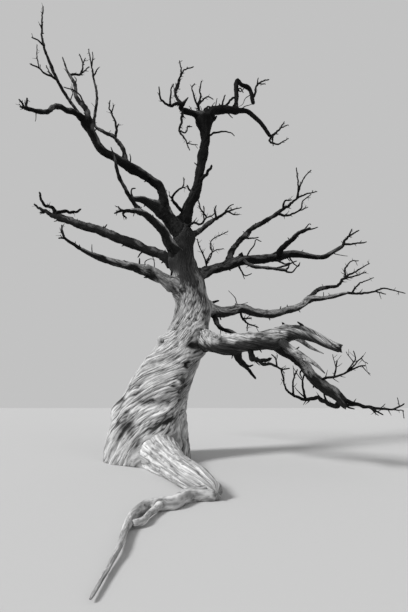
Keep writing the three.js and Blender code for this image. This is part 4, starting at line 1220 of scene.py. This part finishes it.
# Single stubs and twigs: (the limb that carries it, where, its foot and tip radius, its legs).
strays = [
    ("leader", 0.38, (40, 22), [(140, 345, 35), (260, 345, 55)]),
    ("leader", 0.9, (28, 22), [(180, 10, 50), (280, 35, 60)]),
    ("leader", 0.99, (26, 15), [(240, 60, 85), (210, 45, 55), (110, 20, 0)]),
    ("leader", 0.98, (14, 6), [(150, 10, 60), (120, 350, 10), (70, 330, -20)]),
    ("leader", 0.98, (12, 5), [(180, 40, 65), (130, 330, 30), (90, 300, -30)]),
    ("leader", 1, (13, 5), [(130, 220, 75), (150, 180, 80)]),
    ("leader_left_arm", 0.2, (13, 5), [(130, 120, 80), (70, 60, 70)]),
    ("leader_left_arm", 0.33, (12, 4), [(120, 200, 75), (90, 160, 60)]),
    ("leader_left_arm", 0.45, (12, 4), [(110, 60, 75), (80, 20, 60)]),
    ("leader_right_arm", 0.26, (15, 5), [(130, 160, 80), (60, 120, 80)]),
    ("leader_right_arm", 0.3, (13, 4), [(120, 350, 70), (70, 20, 80)]),
    ("leader_right_arm", 0.4, (13, 4), [(110, 150, 75), (60, 200, 60)]),
    ("leader", 0.82, (25, 8), [(100, 325, -10), (110, 345, 15), (130, 345, -5), (150, 350, -15),
                               (130, 350, -45)]),
    ("leader_right_arm", 0.31, (24, 13), [(190, 35, 80), (280, 25, 75)]),
    ("leader_right_arm", 0.33, (26, 20), [(360, 15, 60), (210, 25, 50)]),
    ("crook_bough", 0.98, (17, 10), [(110, 175, 65), (80, 0, 85), (50, 0, 15)]),
    ("great_bough", 0.745, (36, 12), [(60, 100, 80), (75, 150, 65)]),
    ("great_bough", 0.83, (36, 7), [(60, 100, 80), (90, 170, 50)]),
    ("great_bough", 0.54, (40, 20), [(180, 300, -75), (90, 315, -40), (110, 335, -5), (60, 340, 15)]),
    ("right_high_bough", 0.37, (58, 50), [(65, 258, 78), (45, 250, 78)]),
    ("right_high_bough", 0.56, (26, 12), [(130, 330, -40), (150, 345, -30), (90, 0, 10)]),
    ("right_under_limb", 0.97, (20, 8), [(110, 30, 45), (100, 15, 55)]),
    ("right_rising_bough", 0.4, (15, 6), [(120, 325, -20), (110, 335, 50)]),
    ("hanging_snag", 0.62, (24, 8), [(90, 20, -20), (60, 20, 15)]),
    ("hanging_snag", 0.85, (24, 15), [(130, 25, -50)]),
    ("drooping_bough", 0.88, (26, 9), [(130, 330, -30), (90, 345, -15)]),
    ("drooping_bough", 0.96, (20, 6), [(90, 320, -45), (60, 350, -20)]),
    ("leader_right_arm", 0.53, (14, 6), [(200, 25, 55), (240, 15, 35)]),
    ("leader_right_arm", 0.36, (16, 8), [(180, 335, -65), (130, 345, -55)]),
    ("leader_right_arm", 0.2, (16, 7), [(160, 335, 65), (170, 325, 75)]),
    ("leader_right_arm", 0.44, (14, 6), [(100, 295, 55), (120, 350, 35)]),
    ("leader_hoop", 0.36, (16, 10), [(100, 340, 20), (150, 340, -65)]),
    ("leader_hoop", 0.49, (14, 9), [(190, 30, -55), (240, 20, 55)]),
    ("leader_hoop", 0.85, (9, 5), [(140, 165, -30), (200, 180, -65), (160, 210, -50)]),
    ("leader", 0.29, (22, 14), [(120, 200, 20), (70, 215, 60)]),
    ("leader", 0.96, (18, 7), [(180, 315, 50), (100, 220, 65)]),
    ("leader", 0.96, (16, 6), [(400, 345, 65), (80, 335, 45)]),
    ("leader", 0.94, (15, 6), [(240, 210, 50), (100, 235, 50)]),
    ("leader", 0.51, (18, 8), [(150, 200, 35)]),
    ("left_high_bough", 0.58, (18, 10), [(90, 225, 70)]),
    ("left_high_bough", 0.49, (14, 7), [(140, 320, 80), (90, 190, 80)]),
    ("left_high_bough", 0.36, (14, 7), [(130, 195, 55)]),
    ("left_high_bough", 0.13, (14, 8), [(110, 340, 60)]),
    ("left_high_upright", 0.45, (9, 4), [(80, 175, 30), (90, 180, 75)]),
    ("left_high_upright", 0.51, (12, 6), [(180, 90, 85), (130, 150, 60)]),
    ("left_high_upright", 0.16, (18, 8), [(390, 180, 65), (160, 190, 30), (110, 195, 5)]),
    ("left_high_spire", 0.4, (8, 4), [(250, 175, 60), (210, 160, 60), (300, 165, 60)]),
    ("left_high_spire", 0.29, (9, 4), [(240, 85, 80), (230, 145, 70)]),
    ("left_long_bough", 0.6, (20, 9), [(80, 305, 75), (90, 0, 65)]),
    ("left_long_bough", 0.82, (14, 7), [(110, 320, 85)]),
    ("left_low_bough", 0.44, (10, 4), [(130, 225, 60), (90, 345, 40), (80, 0, -15)]),
    ("left_low_bough", 0.4, (9, 4), [(170, 60, 80), (120, 190, 75), (110, 0, 45)]),
    ("left_low_bough", 1, (10, 5), [(50, 245, 65)]),
    ("left_inner_bough", 0.68, (14, 7), [(70, 210, 55)]),
    ("left_inner_bough", 0.89, (11, 6), [(80, 350, 50)]),
    ("crook_bough", 0.72, (14, 7), [(100, 165, 70)]),
    ("right_rising_bough", 0.39, (23, 11), [(200, 325, -25), (150, 340, 0)]),
    ("right_rising_bough", 0.59, (16, 8), [(100, 345, 70)]),
    ("right_high_bough", 0.4, (17, 8), [(160, 295, 55), (150, 330, 45), (110, 325, 65), (100, 345, -25)]),
    ("right_high_bough", 0.34, (20, 8), [(210, 295, -60), (170, 335, -55), (110, 345, 15)]),
    ("right_high_bough", 0.34, (16, 7), [(280, 300, -60), (170, 305, -65)]),
    ("right_high_bough", 0.65, (19, 8), [(240, 305, -60), (130, 325, -45), (80, 300, 40)]),
    ("right_high_bough", 0.72, (12, 6), [(150, 20, 50)]),
    ("right_high_bough", 0.92, (11, 5), [(150, 310, -35), (180, 340, -20)]),
    ("right_bent_snag", 0.48, (12, 7), [(90, 195, 55)]),
    ("right_bent_snag", 0.86, (14, 7), [(150, 340, 50), (40, 315, -45)]),
    ("right_bent_snag", 0.92, (17, 8), [(120, 320, -10), (80, 325, 0)]),
    ("right_under_limb", 0.79, (19, 9), [(170, 340, 10), (200, 345, 20)]),
    ("right_under_limb", 0.93, (18, 8), [(140, 340, -25), (120, 335, 35), (70, 340, 50)]),
    ("right_long_bough", 0.13, (38, 14), [(120, 205, 75), (120, 0, 20)]),
    ("right_long_bough", 0.29, (11, 4), [(170, 225, 70), (110, 210, 50), (100, 190, 45)]),
    ("right_long_bough", 0.29, (8, 4), [(110, 310, 40), (110, 355, 15)]),
    ("right_long_bough", 0.58, (14, 7), [(130, 335, 60)]),
    ("great_bough", 0.61, (14, 6), [(100, 220, -65), (60, 320, -65)]),
    ("great_bough", 0.77, (15, 8), [(60, 210, 65)]),
    ("drooping_bough", 0.48, (13, 6), [(100, 205, -50), (60, 290, -70)]),
]


limbs = trunkShape + upperLimbs + leftLimbs + rightLimbs + lowLimbs + roots
masses = upperMasses + leftMasses + rightMasses + lowMasses
paths = {}
for limb in limbs:
    layOut(limb)
for limb in limbs:
    carveLimb(limb["name"])
print("limbs carved:", len(limbs))


# The seeded rule of the source: shoots sprout at even spaces with some play, lean out to any side
# and turn upward. Spurs are carried on from them and from the stems by the same rule, and snags
# are the stubs of lost twigs along a limb. Lengths in millimetres, angles in degrees.
shootRule = {
    "spacing": 330, "play": (0.35, 0.95), "length": (170, 340), "shortening": 0.35,
    "lean": (38, 66), "lift": 0.3, "share": 0.55, "tip": 4, "sides": 6, "leastTaper": 1,
}
spurRule = {
    "spacing": 130, "play": (0.15, 0.95), "length": (40, 150), "shortening": 0.3,
    "lean": (36, 74), "lift": 0.25, "share": 0.5, "tip": 1.8, "sides": 5, "leastTaper": 1,
}
snagRule = {
    "spacing": 430, "play": (0.1, 0.9), "length": (25, 110), "lean": (50, 85), "lift": 0.3,
    "share": 0.24, "tip": 0.5, "sides": 7, "knee": 0.6, "tipLift": (-0.4, 0.6), "wander": 0.6,
}
stemRule = {
    "armShare": 0.85, "armTip": 0.6, "margin": 160, "lowest": 60, "clear": 12,
    "clearTests": (0.4, 1, 4), "spaceTests": (0, 1, 24),
    "sides": 8, "wander": 0.55, "shootWander": 0.5, "bark": 0.85, "spurLeast": 0.45,
    "dense": {
        "leader_crown_twigs": 1.9, "leader_left_twigs": 1.5, "leader_drooping_twigs": 1.7,
        "leader_side_twigs": 1.6, "right_inner_spray": 1.8, "right_crooked_twigs": 1.7,
        "right_curl_twigs": 2.2, "right_fan_twigs": 1.6, "right_rising_twigs": 1.4,
        "right_long_hanging_twigs": 2, "hanging_fork": 1.7, "drooping_top_twigs": 1.6,
        "left_level_twigs": 2.2, "left_inner_twigs": 2,
    },
}

# How a single twig is made: its rings' spacing, its small knobs and how dark the painted shade in the
# dips between them is, its rounded ends as shares of its radius, and its small bends. Lengths are in
# metres here.
twigShape = {
    "spacing": 0.022, "leastRings": 4,
    "knobs": 0.2, "knobWidth": 1.1, "knobLength": 0.045, "dipShade": 1.2,
    "foot": 0.4, "tip": 1.6,
    "bendLength": 0.075, "bend": 1.4, "bendFoot": (0.0, 0.12), "bendLeast": 0.011,
    "bendSeeds": (0.4, 0.7), "colourShift": 0.21,
}
twigSalts = {
    "mass": 13, "stem": 17, "shoots": 101, "shoot": 7, "spurs": 307, "carrier": 11,
    "strays": 500, "stray": 23, "knobWrap": 997, "bendWrap": 991, "colourWrap": 61,
}
clearSkip = ringSkips["clear"]
limbPoints = np.vstack([line["centres"][::clearSkip] for line in limbLines.values()])
limbReach = np.concatenate([line["radii"][::clearSkip] for line in limbLines.values()])


# The places round a twig and along it, ring by ring.
def ringPlaces(spins, wide, along):
    circle = np.cos(spins)[None] * wide, np.sin(spins)[None] * wide
    return np.stack(np.broadcast_arrays(*circle, along[:, None]), 2).reshape(-1, 3)


# The twigs of one mass are too many to be cut from rods, so their rings are joined into one mesh.
class Twigs:
    def __init__(self, name):
        self.name = name
        self.corners, self.faces, self.grain, self.hollowShade = [], [], [], []
        self.count = 0

    # One round twig along its middle line, closed at both ends, with small knobs and painted shade in the
    # dips between them.
    def add(self, centres, radii, sides, salt):
        ways, squares, ups = framesOf(centres)
        steps = np.linalg.norm(np.diff(centres, axis=0), axis=1)
        reach = np.concatenate([[0], np.cumsum(steps)])
        rings = len(centres)
        spins = np.arange(sides) * 2 * math.pi / sides
        out = np.cos(spins)[None, :, None] * squares[:, None]
        out = out + np.sin(spins)[None, :, None] * ups[:, None]
        knobPlaces = ringPlaces(spins, twigShape["knobWidth"], reach / twigShape["knobLength"] + salt)
        knobs = noiseAt(knobPlaces, salt % twigSalts["knobWrap"]).reshape(rings, sides)
        wide = radii[:, None] * (1 + twigShape["knobs"] * knobs)
        rows = (centres[:, None] + out * wide[..., None]).reshape(-1, 3)
        foot = centres[0] - ways[0] * radii[0] * twigShape["foot"]
        tip = centres[-1] + ways[-1] * radii[-1] * twigShape["tip"]
        self.corners += [rows, np.stack([foot, tip])]
        self.addFaces(rings, sides)
        lines = ringPlaces(spins, float(radii.mean()), reach * grainSizes["squeeze"])
        lines = lines + (salt % twigSalts["colourWrap"]) * twigShape["colourShift"]
        self.grain += [lines, lines[[0, -1]]]
        # Painted shade in the dips between the knobs.
        dipShade = np.clip(-twigShape["dipShade"] * knobs.ravel(), 0, 1)
        self.hollowShade += [dipShade, dipShade[[0, -1]]]
        self.count += rings * sides + 2  # The rings' corners, then the foot and the tip.

    # The walls between the rings, then a fan of triangles at the foot and one at the tip.
    def addFaces(self, rings, sides):
        first = self.count
        near = first + np.arange((rings - 1) * sides).reshape(rings - 1, sides)
        beside = np.roll(near, -1, axis=1)
        walls = np.stack([near, beside, beside + sides, near + sides], 2)
        self.faces += walls.reshape(-1, 4).tolist()
        foot = first + rings * sides
        last = foot - sides
        fans = [(edge, (edge + 1) % sides) for edge in range(sides)]
        self.faces += [(foot, first + after, first + edge) for edge, after in fans]
        self.faces += [(foot + 1, last + edge, last + after) for edge, after in fans]

    def piece(self):
        mesh = bpy.data.meshes.new(self.name)
        mesh.from_pydata(np.vstack(self.corners).tolist(), [], self.faces)
        bark = np.full(self.count, stemRule["bark"])
        setAttributes(mesh, np.vstack(self.grain), np.concatenate(self.hollowShade), bark)
        made = bpy.data.objects.new(self.name, mesh)
        bpy.context.scene.collection.objects.link(made)
        finishPiece(made, "twigBarkAndShade")
        return made


def addStem(twigs, path, girth, sides, salt, wander):
    rings = max(twigShape["leastRings"], round(path.length / twigShape["spacing"]))
    shares = np.linspace(0, 1, rings)
    centres = path.along(shares)
    radii = spread(girth, shares) * mm
    ways, squares, ups = framesOf(centres)
    reach = shares * path.length
    hold = stepUp(reach, *twigShape["bendFoot"]) * wander * np.maximum(radii, twigShape["bendLeast"])
    first, second = twigShape["bendSeeds"]
    for step, square in enumerate((squares, ups)):
        slow = reach / twigShape["bendLength"]
        places = np.stack([slow, np.full(rings, first + step), np.full(rings, second)], 1)
        bend = hold * noiseAt(places, salt % twigSalts["bendWrap"] + step) * twigShape["bend"]
        centres = centres + square * bend[:, None]
    twigs.add(centres, radii, sides, salt)


# A shoot is skipped if it would leave the mass's space, or run into a limb.
def sprout(twigs, carrier, random, rule, scale, space, salt, dense=1):
    path, girth = carrier
    low, high = space
    grown = []
    count = max(1, int(path.length * dense / (rule["spacing"] * mm)))
    for index in range(count):
        share = (index + random(*rule["play"])) / count
        turn = random(0, 2 * math.pi)
        lean = math.radians(random(*rule["lean"]))
        length = random(*rule["length"]) * scale * (1 - rule["shortening"] * share) * mm
        foot, way = path.pointAt(share), path.wayAt(share)
        side = unit(np.cross((math.cos(turn), math.sin(turn), rule["lift"]), way))
        out = way * math.cos(lean) + side * math.sin(lean)
        knee = foot + out * length / 2
        tip = knee + unit(out + (0, 0, rule["lift"])) * length / 2
        thick = max(rule["tip"] + rule["leastTaper"], spread(girth, share) * rule["share"])
        shoot = LimbPath([foot, knee, tip])
        isOut = (tip < low).any() or (tip > high).any() or tip[2] < stemRule["lowest"] * mm
        tests = shoot.along(np.linspace(*stemRule["clearTests"]))
        gaps = np.linalg.norm(tests[:, None] - limbPoints[None], axis=2) - limbReach
        if not isOut and gaps.min() > stemRule["clear"] * mm:
            radii = [thick, rule["tip"]]
            shootSalt = salt + index * twigSalts["shoot"]
            addStem(twigs, shoot, radii, rule["sides"], shootSalt, stemRule["shootWander"])
            grown.append((shoot, radii))
    return grown


def growMass(mass):
    twigs = Twigs(mass["name"] + "_grown")
    start = paths[mass["grownFrom"]].pointAt(mass["at"])
    stem = pathFrom(start, mass["legs"])
    paths[mass["name"]] = stem
    stems = [(stem, mass["girth"])]
    for arm in mass["arms"]:
        thick = spread(mass["girth"], arm["at"]) * stemRule["armShare"]
        girth = [thick, min(mass["girth"][1], thick * stemRule["armTip"])]
        stems.append((pathFrom(stem.pointAt(arm["at"]), arm["legs"]), girth))
    salt = sum(ord(letter) for letter in mass["name"]) * twigSalts["mass"]
    tests = np.linspace(*stemRule["spaceTests"])
    walked = np.vstack([path.along(tests) for path, girth in stems])
    margin = stemRule["margin"] * mm
    space = walked.min(axis=0) - margin, walked.max(axis=0) + margin
    for index, (path, girth) in enumerate(stems):
        stemSalt = salt + index * twigSalts["stem"]
        addStem(twigs, path, girth, stemRule["sides"], stemSalt, stemRule["wander"])
    random = seededBy(mass["name"])
    carriers = list(stems)
    scale, shootSalt = mass["shootScale"], salt + twigSalts["shoots"]
    for carrier in stems:
        carriers += sprout(twigs, carrier, random, shootRule, scale, space, shootSalt)
    random = seededBy(mass["name"] + "_spurs")
    spurScale = stemRule["spurLeast"] + (1 - stemRule["spurLeast"]) * scale
    dense = stemRule["dense"].get(mass["name"], 1)
    for index, carrier in enumerate(carriers):
        spurSalt = salt + twigSalts["spurs"] + index * twigSalts["carrier"]
        sprout(twigs, carrier, random, spurRule, spurScale, space, spurSalt, dense)
    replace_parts(twigs.piece(), mass["name"])
    return twigs.count


# The stubs of lost twigs along a limb, by a seeded rule of their own.
def addSnags(twigs, name, line):
    random = seededBy(name + "_snags")
    count = int(line["path"].length / (snagRule["spacing"] * mm))
    for index in range(count):
        ring = int((index + random(*snagRule["play"])) / count * (len(line["shares"]) - 1))
        turn = random(0, 2 * math.pi)
        lean = math.radians(random(*snagRule["lean"]))
        foot, way, radius = line["centres"][ring], line["ways"][ring], line["radii"][ring]
        length = radius + random(*snagRule["length"]) * mm
        side = unit(np.cross((math.cos(turn), math.sin(turn), snagRule["lift"]), way))
        out = way * math.cos(lean) + side * math.sin(lean)
        knee = foot + out * length * snagRule["knee"]
        tipWay = unit(out + (0, 0, random(*snagRule["tipLift"])))
        stub = LimbPath([foot, knee, knee + tipWay * length * (1 - snagRule["knee"])])
        thick = radius * snagRule["share"] / mm
        girth = [thick, thick * snagRule["tip"]]
        addStem(twigs, stub, girth, snagRule["sides"], line["salt"] + index, snagRule["wander"])


def growStrays():
    twigs = Twigs("stray_twigs")
    for index, (carrier, share, girth, legs) in enumerate(strays):
        path = pathFrom(paths[carrier].pointAt(share), legs)
        salt = twigSalts["strays"] + index * twigSalts["stray"]
        addStem(twigs, path, girth, stemRule["sides"], salt, stemRule["wander"])
    for name, line in limbLines.items():
        if line["look"]["finish"] != "paleWood":
            addSnags(twigs, name, line)
    twigs.piece()
    return twigs.count


total = sum(growMass(mass) for mass in masses) + growStrays()
print("twigs grown:", len(masses), "masses,", total, "corners")


# A plain pale floor under plain soft light, the stronger from the left and the front.
stageLook = {
    "floorSize": 160,
    "floor": 0.42,
    "floorRoughness": 0.95,
    "sky": 0.9,
    "skyStrength": 0.6,
    "lamps": [
        {"name": "key_light", "place": (-16.5, -11.0, 17.5), "spread": 16, "strength": 4.3},
        {"name": "fill_light", "place": (9.0, -11.0, 6.0), "spread": 31, "strength": 0.5},
    ],
    "aim": (0.4, 0.0, 2.2),
}
bpy.ops.object.select_all(action="DESELECT")
bpy.ops.mesh.primitive_plane_add(size=stageLook["floorSize"], location=(0, 0, 0))
floor = bpy.context.object
floor.name = "floor"
plainFloor = Finish("plainFloor")
plainFloor.shader.inputs["Base Color"].default_value = grey(stageLook["floor"])
plainFloor.shader.inputs["Roughness"].default_value = stageLook["floorRoughness"]
floor.data.materials.append(plainFloor.material)

world = bpy.data.worlds.new("plain_sky")
bpy.context.scene.world = world
world.use_nodes = True
background = world.node_tree.nodes["Background"]
background.inputs["Color"].default_value = grey(stageLook["sky"])
background.inputs["Strength"].default_value = stageLook["skyStrength"]
for lamp in stageLook["lamps"]:
    bpy.ops.object.light_add(type="SUN", location=lamp["place"])
    light = bpy.context.object
    light.name = lamp["name"]
    light.data.angle = math.radians(lamp["spread"])
    light.data.energy = lamp["strength"]
    aim = light.location - Vector(stageLook["aim"])
    light.rotation_euler = aim.to_track_quat("Z", "Y").to_euler()
bpy.context.scene.view_settings.view_transform = "Standard"
print("stage set")
